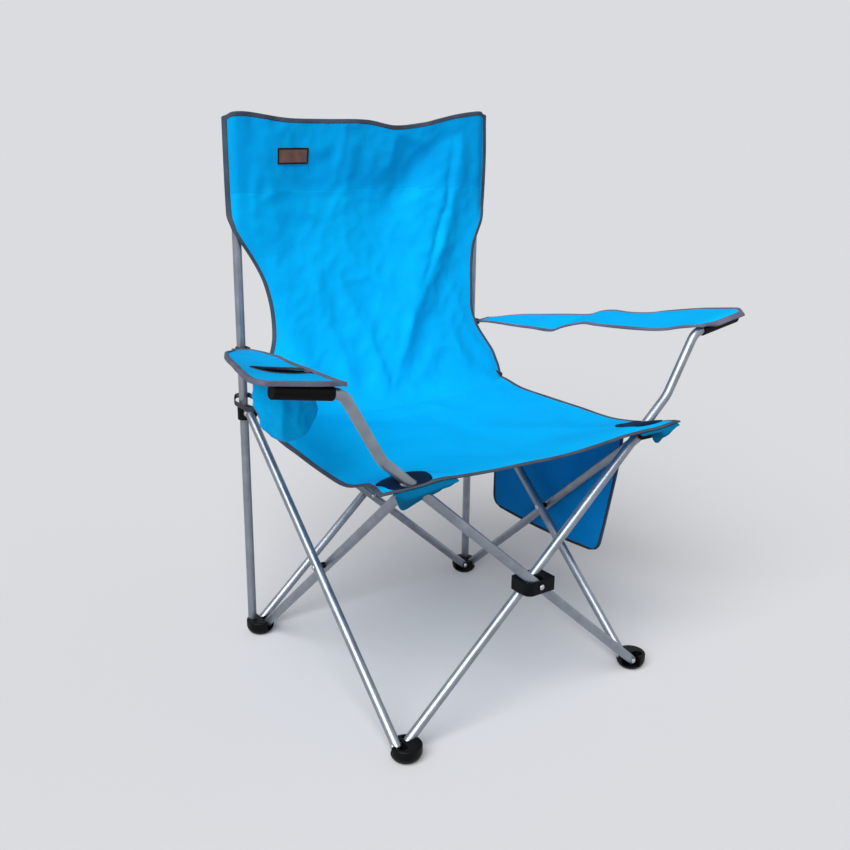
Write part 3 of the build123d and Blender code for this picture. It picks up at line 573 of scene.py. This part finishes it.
bm, spots = sheetMesh(steps(16, 0.03), steps(8, 0.06), (0.064, 0.028),
                      lambda u, v: labelPoint(u, v, label["lift"], 0))
backPatch = newPiece("backPatch", bm, [brownLeather])
roundEdges(thicken(backPatch, label["thickness"]), 0.4 * mm)
border = [(0, 0), (1, 0), (1, 1), (0, 1)]
borderRoute = []
for k in range(4):
    (u0, v0), (u1, v1) = border[k], border[(k + 1) % 4]
    for step in range(12):
        t = step / 12
        u, v = u0 + (u1 - u0) * t, v0 + (v1 - v0) * t
        borderRoute.append(labelPoint(u, v, label["borderLift"], label["borderInset"]))
patchBorder = tubeAlong("backPatchBorder", borderRoute, label["border"], darkStitch, cyclic=True)
print("stage: back made")

# Seat

seat = {
    "frontY": -274 * mm, "splitY": -52 * mm, "thickness": 1.5 * mm,
    "leftSide": [(-274, 304), (-235, 286), (-178, 275), (-52, 272), (60, 270), (166, 268), (208, 268)],
    "rightSide": [(-274, 313), (-230, 299), (-192, 285), (-170, 277), (-140, 273), (-52, 272), (60, 270), (208, 266)],
    "middle": [(-274, 452), (-170, 441), (-20, 437), (70, 440), (119, 448)],  # heights along the middle and the edges
    "leftEdge": [(-274, 463), (-235, 457), (-185, 449), (-140, 444.5), (-60, 446), (20, 447), (100, 449), (166, 459)],
    "rightEdge": [(-274, 457), (-230, 450), (-192, 442), (-170, 434), (-150, 426), (-121, 416), (-95, 412.5),
                  (-60, 413.5), (0, 417.5), (50, 422), (95, 425), (137, 431), (160, 436), (182, 444), (208, 459)],
    "front": [(-313, 457), (-250, 457.5), (-204, 460), (-170, 457.5), (-110, 454.5), (-50, 453), (10, 451.5), (50, 452),
              (100, 454.5), (141, 457.5), (164, 460), (212, 461), (250, 461), (304, 465)],
    "corners": [(-254, -238, 12, 52, 38), (252, -251, 9, 60, 27)],  # cloth lifted by the brackets: x, y, height, widths
    "folds": [  # lines of x, y and height in millimetres from the rear forward, then the widths to either side
        ([(-235, 120, 2), (-150, 60, 5), (-60, 20, 1)], 30, 26),
        ([(230, 120, 2), (150, 70, 4), (60, 40, 1)], 26, 34),
        ([(-40, -40, 1), (-150, -130, 3.5), (-225, -205, 3)], 30, 22),
        ([(60, -60, 1), (160, -140, 3), (225, -205, 3)], 22, 30),
        ([(-20, 110, 4), (-28, 20, 2), (-10, -80, 0.5)], 34, 34),
        ([(40, 118, 4), (70, 40, 2), (60, -60, 0.5)], 26, 30),
        ([(-225, 60, -3), (-205, -40, -4), (-215, -130, -1)], 28, 28),
    ],
}


def seatHalf(y, hand):
    return through(seat["leftSide" if hand > 0 else "rightSide"], y / mm) * mm


def seatLevel(share, y, along):
    middleY = seat["frontY"] + (back["creaseY"] - seat["frontY"]) * along
    middleZ = through(seat["middle"], middleY / mm) * mm
    edgeZ = through(seat["leftEdge" if share > 0 else "rightEdge"], y / mm) * mm
    return middleZ + (edgeZ - middleZ) * abs(share) ** 2.4


def seatSpot(share, y):
    low = creaseLine(share)
    along = min(max((y - seat["frontY"]) / (low.y - seat["frontY"]), 0.0), 1.0)  # from the front edge to the crease
    z = seatLevel(share, y, along)
    z += (low.z - seatLevel(share, low.y, 1.0)) * smoothStep(0.5, 1.0, along)
    x = share * seatHalf(y, share)
    edgeLift = through(seat["front"], x / mm) * mm - seatLevel(share, seat["frontY"], 0.0)
    z += edgeLift * (1 - smoothStep(0.0, 0.28, along))
    for cornerX, cornerY, rise, wide, deep in seat["corners"]:
        hump = math.exp(-((x / mm - cornerX) / wide) ** 2 - ((y / mm - cornerY) / deep) ** 2)
        z += rise * mm * hump * smoothStep(0.0, 0.075, along) * (1 - abs(share) ** 14)
    inside = (1 - abs(share) ** 8) * smoothStep(0.0, 0.05, along) * (1 - smoothStep(0.9, 1.0, along))
    z += foldSum(seat["folds"], x / mm, y / mm) * mm * inside
    z += (ripple(x, y, 0.085, 5.3) * 2.2 + ripple(x, y, 0.03, 9.1) * 0.5) * mm * inside
    return Vector((x, y, z))


def seatHeight(x, y):
    share = min(max(x / seatHalf(y, x), -1.0), 1.0)
    return seatSpot(share, max(y, seat["frontY"])).z


def seatPoint(u, v, fromY, toCrease):
    share = 2 * u - 1
    endY = creaseLine(share).y if toCrease else seat["splitY"]
    return seatSpot(share, fromY + (endY - fromY) * v)


posts = {"Left": Vector((258 * mm, -239 * mm)), "Right": Vector((-257 * mm, -261 * mm))}
seatCols = steps(112, 0.0148)
leaves = {}
for word, node, fromY, toCrease, length, bound in (
    ("Front", "seat_front", seat["frontY"], False, 0.222, ("left", "right", "low")),
    ("Rear", "seat_rear", seat["splitY"], True, 0.218, ("left", "right")),
):
    rows = steps(48, 0.036)
    bm, spots = sheetMesh(seatCols, rows, (0.56, length),
                          lambda u, v, f=fromY, c=toCrease: seatPoint(u, v, f, c))
    rim = rimOf("seatBinding" + word, bm, spots, seatCols, rows, bound, [greyBinding], 3.4 * mm)
    if word == "Front":
        for spot in posts.values():
            openHole(bm, spots, spot, 17 * mm, 10.5 * mm)
    leaf = newPiece("seat" + word, bm, [blueCanvas])
    thicken(leaf, seat["thickness"])
    leaves[word] = (leaf, rim, node, length)
print("stage: seat made")


# Black patches round the arm posts: a ring of cloth laid on the seat

patch = {"halfX": 38 * mm, "halfY": 28 * mm, "square": 0.48,
         "middle": {"Left": (248 * mm, -229 * mm), "Right": (-252 * mm, -243 * mm)},
         "lift": 1.7 * mm, "thickness": 1.4 * mm, "ring": 0.9 * mm,
         "holeX": 12.8 * mm, "holeY": 8.6 * mm, "ringX": 13 * mm, "ringY": 8.9 * mm}
postPatches, postRings = {}, {}
for word, spot in posts.items():
    hand = 1 if word == "Left" else -1
    bm = bmesh.new()
    outer = bmesh.ops.create_circle(bm, segments=64, radius=1.0)["verts"]
    inner = bmesh.ops.create_circle(bm, segments=64, radius=0.5)["verts"]
    centreX, centreY = patch["middle"][word]
    for vert in outer:
        x, y = (math.copysign(abs(c) ** patch["square"], c) for c in vert.co.xy)
        vert.co = (centreX + x * patch["halfX"], centreY + y * patch["halfY"], 0)
    for vert in inner:
        vert.co = (spot.x + vert.co.x * 2 * patch["holeX"], spot.y + vert.co.y * 2 * patch["holeY"], 0)
    bmesh.ops.bridge_loops(bm, edges=bm.edges)
    radial = [e for e in bm.edges if not e.is_boundary]
    bmesh.ops.subdivide_edges(bm, edges=radial, cuts=9, use_grid_fill=True)
    for vert in bm.verts:
        limit = seatHalf(vert.co.y, hand) - 8 * mm
        vert.co.x = min(max(vert.co.x, -limit), limit)
        vert.co.z = seatHeight(vert.co.x, vert.co.y) + patch["lift"]
    layer = bm.loops.layers.uv.new("cloth")
    for face in bm.faces:
        for loop in face.loops:
            loop[layer].uv = loop.vert.co.xy
    bmesh.ops.recalc_face_normals(bm, faces=bm.faces)
    piece = newPiece("postPatch" + word, bm, [blackCanvas])
    roundEdges(thicken(piece, patch["thickness"]), 0.5 * mm)
    postPatches[word] = piece
    ringRoute = []
    for k in range(48):  # the turned-in edge of the hole, standing up round the tube
        turn = 2 * math.pi * k / 48
        x, y = spot.x + patch["ringX"] * math.cos(turn), spot.y + patch["ringY"] * math.sin(turn)
        ringRoute.append((x, y, seatHeight(x, y) + patch["lift"] + patch["ring"]))
    postRings[word] = tubeAlong("postRing" + word, ringRoute, patch["ring"], greyBinding, cyclic=True)

# Folded flaps under the front corners

flapShape = {  # millimetres: outer and inner end, and the depth along it
    "Right": {"hand": -1, "outer": 290, "inner": 178, "tuck": 9,
              "depth": [(0, 9), (0.08, 27), (0.19, 32), (0.5, 22.5), (0.86, 18), (1, 4)]},
    "Left": {"hand": 1, "outer": 297, "inner": 206, "tuck": 22,
             "depth": [(0, 4), (0.32, 28), (0.42, 26), (0.5, 8), (1, 6)]},
}
flaps = {}
for word, shape in flapShape.items():
    def flapPoint(u, v, shape=shape):
        hand = shape["hand"]
        x = (shape["outer"] + (shape["inner"] - shape["outer"]) * u) * mm
        topZ = seatHeight(hand * x, seat["frontY"] + 2 * mm) - 2.4 * mm
        depth = through(shape["depth"], u) * mm
        tuck = 9 + (shape["tuck"] - 9) * smoothStep(0.25, 0.6, u)
        bulge = 9 * math.sin(math.pi * min(1.5 * v, 1.0))  # over the rivet's head
        y = seat["frontY"] + 2 * mm + (1.4 * math.sin(10 * u + hand) * v + tuck * v * v - bulge) * mm
        return Vector((hand * (x - 9 * mm * v * (1 - 2 * u)), y, topZ - depth * v))

    bm, spots = sheetMesh(steps(30, 0.03), steps(10, 0.06), (0.11, 0.03), flapPoint)
    # the flap's darker canvas is painted shade from the seat's front edge
    flap = newPiece("cornerFlap" + word, bm, [paintedShadeFlapCanvas])
    flaps[word] = thicken(flap, 1.3 * mm)
print("stage: patches and flaps made")


# Armrests

arm = {"rearZ": 561 * mm, "rearX": 268 * mm, "rearY": 255 * mm, "sideSlope": 0.125, "thickness": 2.2 * mm,
       "loopY": 240 * mm}
sleeveBox = {1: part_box("left_arm_sleeve"), -1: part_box("right_arm_sleeve")}
armShape = {
    1: {"front": -253, "hem": 12,
        "inner": [(-253, 366), (-236, 350), (-180, 330), (-60, 303), (60, 280), (150, 263), (240, 257)],
        "outer": [(-250, 478), (-165, 462), (-60, 424), (60, 383), (150, 345), (240, 290)],
        "innerLift": [(0, 1), (0.1, 1), (0.2, -3), (0.3, -8), (0.4, -13), (0.45, -5.5), (0.5, 0.5), (0.55, 3.6),
                      (0.6, 0.3), (0.7, -3.7), (0.8, -7.4), (0.88, -8), (0.94, -4.5), (1, -4)],
        "outerLift": [(0, 1), (0.1, 2), (0.2, -1.6), (0.3, -3.5), (0.4, -4.8), (0.45, 1.3), (0.5, 2), (0.55, -2),
                      (0.6, -4.2), (0.65, -4.6), (0.7, -2.2), (0.8, -0.4), (1, 0.6)]},
    -1: {"front": -272, "hem": 1, "inner": [(-272, 362), (-212, 346), (-99, 315), (50, 279), (150, 258), (240, 256)],
         "outer": [(-272, 482), (-248, 485), (-215, 478), (-168, 464), (-50, 424), (60, 383), (150, 343), (240, 290)],
         "innerLift": [(0, 0), (0.2, 0), (0.4, -3), (0.5, -4), (0.9, -3.6), (1, -2.5)],
         "outerLift": [(0, 0), (0.3, 2), (0.55, 3), (0.75, 1), (0.9, -1), (1, 0)]},
}
cup = {"x": -360 * mm, "y": -85 * mm, "radius": 46 * mm, "bottomZ": 490 * mm, "ridge": math.radians(-116), "facets": 5,
       "leanX": 12 * mm, "leanY": 12 * mm}


def armSlope(hand):
    low, high = sleeveBox[hand]
    middleY = (low.y + high.y) / 2
    side = arm["sideSlope"] * (max(abs(low.x), abs(high.x)) - arm["rearX"])
    return (high.z + 2.4 * mm - arm["rearZ"] - side) / (middleY - arm["rearY"])


def armHeight(hand, x, y):
    return arm["rearZ"] + arm["sideSlope"] * (abs(x) - arm["rearX"]) + armSlope(hand) * (y - arm["rearY"])


def armPoint(hand, u, v):
    shape = armShape[hand]
    y = (arm["loopY"] + (shape["front"] * mm - arm["loopY"]) * v)
    inner = through(shape["inner"], y / mm) * mm
    outer = through(shape["outer"], y / mm) * mm
    x = inner + (outer - inner) * u
    z = armHeight(hand, x, y)
    free = smoothStep(0.0, 0.1, v) * (1 - smoothStep(0.82, 0.97, v))
    z += (through(shape["innerLift"], v) * (1 - u) + through(shape["outerLift"], v) * u) * mm
    if hand < 0:
        z -= 4 * mm * math.sin(math.pi * v) * free * math.sin(math.pi * u)
    z += ripple(x, y, 0.06, 2.2 + hand) * 1.2 * mm * free
    lap = smoothStep(0.965, 1.0, v)  # the front hem turns down over the bar
    return Vector((hand * x, y, z - shape["hem"] * mm * lap * lap * (0.2 + 0.8 * smoothStep(0.05, 0.4, u))))


def armTop(x, y):
    # the right armrest's height at a place
    shape = armShape[-1]
    inner, outer = (through(shape[edge], y / mm) * mm for edge in ("inner", "outer"))
    v = (arm["loopY"] - y) / (arm["loopY"] - shape["front"] * mm)
    return armPoint(-1, (abs(x) - inner) / (outer - inner), v).z


armPieces = {}
for word, hand in (("Left", 1), ("Right", -1)):
    cols, rows = steps(30, 0.07), steps(118, 0.016)
    bm, spots = sheetMesh(cols, rows, (0.12, 0.5), lambda u, v, h=hand: armPoint(h, u, v))
    if hand > 0:
        bmesh.ops.recalc_face_normals(bm, faces=bm.faces)
    rim = rimOf("armBinding" + word, bm, spots, cols, rows, ("left", "right", "high", "low"), [paleBinding],
                4.0 * mm if hand > 0 else 6.4 * mm)
    if hand < 0:
        openHole(bm, spots, (cup["x"], cup["y"]), cup["radius"], cup["radius"])
        ringRoute = []
        for k in range(72):
            turn = 2 * math.pi * k / 72
            x, y = cup["x"] + cup["radius"] * math.cos(turn), cup["y"] + cup["radius"] * math.sin(turn)
            ringRoute.append((x, y, armTop(x, y) + 1.2 * mm))
        cupRing = tubeAlong("cupBinding", ringRoute, 1.7 * mm, darkBinding, cyclic=True)
    sheet = newPiece("armrest" + word, bm, [blueCanvas])
    thicken(sheet, arm["thickness"])
    armPieces[word] = (sheet, rim)
print("stage: armrests made")

# Cup bag: a gathered tube of cloth with a drawn-in round bottom

bm = bmesh.new()
profile = [(0.0, 0.0), (0.35, 0.03), (0.65, 0.1), (0.85, 0.21), (0.96, 0.34), (1.0, 0.5), (1.0, 0.66), (1.0, 0.83),
           (1.0, 1.0)]
start = [bm.verts.new((r * cup["radius"], 0, t)) for r, t in profile]
chain = [bm.edges.new((a, b)) for a, b in zip(start, start[1:])]
bmesh.ops.spin(bm, geom=start + chain, cent=(0, 0, 0), axis=(0, 0, 1), angle=2 * math.pi, steps=96, use_merge=True)
bmesh.ops.remove_doubles(bm, verts=bm.verts, dist=1e-5)
bmesh.ops.subdivide_edges(bm, edges=[e for e in bm.edges if abs(e.verts[0].co.z - e.verts[1].co.z) > 1e-6],
                          cuts=3, use_grid_fill=True)
layer = bm.loops.layers.uv.new("cloth")
for face in bm.faces:
    for loop in face.loops:
        co = loop.vert.co
        loop[layer].uv = (math.atan2(co.y, co.x) * cup["radius"], co.z * 0.11)
for vert in bm.verts:
    turn, t = math.atan2(vert.co.y, vert.co.x), vert.co.z
    radius = math.hypot(vert.co.x, vert.co.y)
    slack = math.sin(math.pi * min(0.12 + t * 0.88, 1.0)) ** 0.6
    sector = 2 * math.pi / cup["facets"]
    off = (turn - cup["ridge"] + 0.25 * (1 - t) * math.sin(2 * turn)) % sector - sector / 2
    facet = 1.1 * math.cos(sector / 2) / math.cos(off) - 1
    crumple = 0.06 - 0.24 * abs(ripple(turn * 0.046 + t * 0.03, t * 0.11, 0.028, 4.4))
    radius *= 1 + (facet + crumple) * slack - 0.14 * (1 - t)
    x, y = cup["x"] + radius * math.cos(turn), cup["y"] + radius * math.sin(turn)
    topZ = armTop(x, y) - 0.8 * mm
    spot = (x + cup["leanX"] * (1 - t), y + cup["leanY"] * (1 - t), cup["bottomZ"] + (topZ - cup["bottomZ"]) * t)
    vert.co = spot
bmesh.ops.recalc_face_normals(bm, faces=bm.faces)
cupBag = newPiece("cupBag", bm, [blueCanvas, paintedShadeBagInside])
thicken(cupBag, 1.2 * mm, -1.0)
cupBag.modifiers["wall"].material_offset = 1  # near-black inner wall: painted shade in the bag's hollow
print("stage: cup bag made")

# Side pocket: two leaves of cloth bound together at the sides and the bottom, open at the top

pocket = {"x": 277 * mm, "puff": 7 * mm, "rear": 192 * mm, "frontLow": -124 * mm, "frontHigh": -178 * mm,
          "low": 168 * mm, "high": 439 * mm, "corner": 26 * mm, "underSeat": 0.9 * mm}


def pocketPoint(u, v, face):
    z = pocket["low"] + (pocket["high"] - pocket["low"]) * v
    front = pocket["frontLow"] + (pocket["frontHigh"] - pocket["frontLow"]) * v
    cut = 0.0
    if z < pocket["low"] + pocket["corner"]:
        rise = (pocket["low"] + pocket["corner"] - z) / pocket["corner"]
        cut = pocket["corner"] * (1 - math.sqrt(max(1 - rise * rise, 0.0)))
    first, last = pocket["rear"] - cut, front + cut
    y = first + (last - first) * u
    edge = math.sin(math.pi * u) ** 0.6 * smoothStep(0.0, 0.25, v)
    wave = (2.5 * math.sin(7 * u + 3 * v) + 4 * ripple(y, z, 0.08, 6.6)) * mm * edge
    droop = 5 * mm * math.sin(math.pi * u) * (1 - v)
    seam = seatHeight(pocket["x"], y) - pocket["underSeat"]  # sewn along the seat's edge
    z += (seam - pocket["high"]) * smoothStep(0.4, 1.0, v)
    x = pocket["x"] + pocket["puff"] / 2 + face * pocket["puff"] / 2 * edge + wave
    x = max(x, 275.6 * mm if face < 0 else 277.2 * mm)
    tucked = seatHalf(y, 1) - (1.4 if face > 0 else 3.0) * mm  # under the seat's bound edge
    return Vector((x + (tucked - x) * smoothStep(0.7, 0.98, v), y, z - droop))


pocketLeaves = []
for face, word in ((1, "Outer"), (-1, "Inner")):
    cols, rows = steps(64, 0.022), steps(54, 0.024)
    bm, spots = sheetMesh(cols, rows, (0.33, 0.28), lambda u, v, f=face: pocketPoint(u, v, f))
    bmesh.ops.recalc_face_normals(bm, faces=bm.faces)
    if face > 0:
        pocketRim = rimOf("pocketBinding", bm, spots, cols, rows, ("left", "right", "low"), [darkBinding], 4.0 * mm)
    # the inner leaf's darker canvas is painted shade from the seat above
    leafPiece = newPiece("pocket" + word, bm, [blueCanvas if face > 0 else paintedShadePocketCanvas])
    pocketLeaves.append(thicken(leafPiece, 1.2 * mm))
print("stage: pocket made")


# Webbing: straps from the sliders to the seat's rear corners, and the armrests' loops

def webbingLoop(name, middle, radius, frontY, rearStretch, lowZ, height, tilt, material):
    # a band round the pole: drawn out to a point behind it and straight to its front end
    bm = bmesh.new()
    bmesh.ops.create_circle(bm, segments=48, radius=radius)
    for vert in bm.verts:
        x, y = vert.co.x, vert.co.y
        if y > 0:
            x, y = x * (1 - 0.5 * (y / radius) ** 2), y * rearStretch
        else:
            y += frontY + radius - middle.y
        vert.co = (middle.x + x, middle.y + y, lowZ - tilt * x)
    made = bmesh.ops.extrude_edge_only(bm, edges=bm.edges)
    for item in made["geom"]:
        if isinstance(item, bmesh.types.BMVert):
            item.co.z += height
    bmesh.ops.recalc_face_normals(bm, faces=bm.faces)
    piece = newPiece(name, bm, [material])
    return roundEdges(thicken(piece, 1.7 * mm), 0.5 * mm)


straps, loops = {}, {}
for word, hand in (("Left", 1), ("Right", -1)):
    pole = Vector((hand * back["poleX"], back["poleY"]))
    straps[word] = webbingLoop("seatStrap" + word, pole, 13.6 * mm, creaseLine(hand).y - 4 * mm, 2.3, 461.5 * mm,
                               9 * mm, 0.44 * hand, greyWebbing)
    low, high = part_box(word.lower() + "_arm_loop")
    loops[word] = webbingLoop("armLoop" + word, pole, 10.2 * mm, low.y + 1 * mm, 1.0, low.z, high.z - low.z, 0.0,
                              darkBinding)
print("stage: webbing made")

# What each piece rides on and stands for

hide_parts("back_panel")
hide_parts("back_patch")
for piece in (backPanel, backRim, *poleStrips, backPatch, patchBorder):
    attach(piece, "right_rear_leg")
    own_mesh(piece)

for word, (leaf, rim, node, length) in leaves.items():
    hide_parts(node)
    for piece in (leaf, rim):
        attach(piece, node)
        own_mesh(piece)

for word in ("Left", "Right"):
    side = word.lower()
    corner = "front_" + side + "_corner"
    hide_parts(side + "_seat_patch")
    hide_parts(side + "_corner_flap")
    for piece in (postPatches[word], postRings[word], flaps[word]):
        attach(piece, corner)

    sheet, rim = armPieces[word]
    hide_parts(side + "_armrest")
    armGroup = [sheet, rim]
    if word == "Right":
        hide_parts("cup_bag")
        armGroup += [cupBag, cupRing]
    hand = 1 if word == "Left" else -1
    for piece in armGroup:  # each piece rides on the armrest's body
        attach(piece, side + "_armrest")
        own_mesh(piece)

    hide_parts(side + "_seat_strap")
    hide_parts(side + "_arm_loop")
    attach(straps[word], side + "_slider")
    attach(loops[word], side + "_arm_loop")

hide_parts("side_pocket")
for piece in (*pocketLeaves, pocketRim):
    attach(piece, "left_slider")
    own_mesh(piece)
print("stage: pieces ride on their bodies")

# Floor and backdrop

stageColor = "#dadce0"


def seenRays(tree):
    # 1 for what the camera sees straight, in metal or through glass
    ray = addNode(tree, "ShaderNodeLightPath")
    seen = ray.outputs["Is Camera Ray"]
    for other in ("Is Glossy Ray", "Is Transmission Ray"):
        either = addNode(tree, "ShaderNodeMath", {"operation": "MAXIMUM"})
        tree.links.new(seen, either.inputs[0])
        tree.links.new(ray.outputs[other], either.inputs[1])
        seen = either.outputs["Value"]
    return seen


bm = bmesh.new()
bmesh.ops.create_grid(bm, x_segments=1, y_segments=1, size=60)
paper, tree, shader = newMaterial("backdropPaper")
shader.inputs["Base Color"].default_value = hexColor("#cacacc")
shader.inputs["Roughness"].default_value = 0.95
shader.inputs["Specular IOR Level"].default_value = 0.0
glow = addNode(tree, "ShaderNodeEmission", {"Color": hexColor(stageColor), "Strength": 1.44})
seen = addNode(tree, "ShaderNodeMath", {"operation": "MULTIPLY"})
tree.links.new(seenRays(tree), seen.inputs[0])
seen.inputs[1].default_value = 0.1
mixed = addNode(tree, "ShaderNodeMixShader")
tree.links.new(seen.outputs["Value"], mixed.inputs[0])
tree.links.new(shader.outputs["BSDF"], mixed.inputs[1])
tree.links.new(glow.outputs["Emission"], mixed.inputs[2])
tree.links.new(mixed.outputs["Shader"], tree.nodes["Material Output"].inputs["Surface"])
backdrop = newPiece("backdrop", bm, [paper], smooth=False)

# Light: an even white room, one broad lamp high on the sitter's right and a weak one opposite

world = bpy.data.worlds.new("studio")
bpy.context.scene.world = world
world.use_nodes = True
tree = world.node_tree
sky = tree.nodes["Background"]
sky.inputs["Color"].default_value = hexColor("#eef1f5")
sky.inputs["Strength"].default_value = 0.24
wall = addNode(tree, "ShaderNodeBackground", {"Color": hexColor(stageColor), "Strength": 1.0})
mixed = addNode(tree, "ShaderNodeMixShader")
tree.links.new(seenRays(tree), mixed.inputs[0])
tree.links.new(sky.outputs["Background"], mixed.inputs[1])
tree.links.new(wall.outputs["Background"], mixed.inputs[2])
tree.links.new(mixed.outputs["Shader"], tree.nodes["World Output"].inputs["Surface"])

lamps = {
    "key": {"from": (-0.6, -0.41, 0.69), "power": 4.15, "spread": 50},
    "fill": {"from": (0.75, -0.55, 0.5), "power": 0.2, "spread": 70},
}
for name, lamp in lamps.items():
    light = bpy.data.lights.new(name, "SUN")
    light.energy = lamp["power"]
    light.angle = math.radians(lamp["spread"])
    lampObject = bpy.data.objects.new(name, light)
    lampObject.rotation_euler = Vector(lamp["from"]).to_track_quat("Z", "Y").to_euler()
    bpy.context.scene.collection.objects.link(lampObject)

# Camera at the photograph's viewing angle

eye = {"azimuth": -35.74, "pitch": 16.62, "roll": 0.68, "target": (-39.6 * mm, 2.2 * mm, 446.1 * mm),
       "distance": 1.748, "focalPixels": 1000, "imagePixels": 850, "sensor": 36.0}
a, e, r = (math.radians(eye[k]) for k in ("azimuth", "pitch", "roll"))
backward = Vector((math.sin(a) * math.cos(e), -math.cos(a) * math.cos(e), math.sin(e)))
level = Vector((math.cos(a), math.sin(a), 0))
upward = backward.cross(level)
rightward = level * math.cos(r) + upward * math.sin(r)
upward = upward * math.cos(r) - level * math.sin(r)
camera = bpy.data.cameras.new("camera")
camera.sensor_width = eye["sensor"]
camera.lens = eye["sensor"] * eye["focalPixels"] / eye["imagePixels"]
cameraObject = bpy.data.objects.new("camera", camera)
turned = Matrix((rightward, upward, backward)).transposed().to_4x4()
cameraObject.matrix_world = Matrix.Translation(Vector(eye["target"]) + backward * eye["distance"]) @ turned
bpy.context.scene.collection.objects.link(cameraObject)
bpy.context.scene.camera = cameraObject
bpy.context.scene.view_settings.view_transform = "Standard"

print("stage: camera and light set")
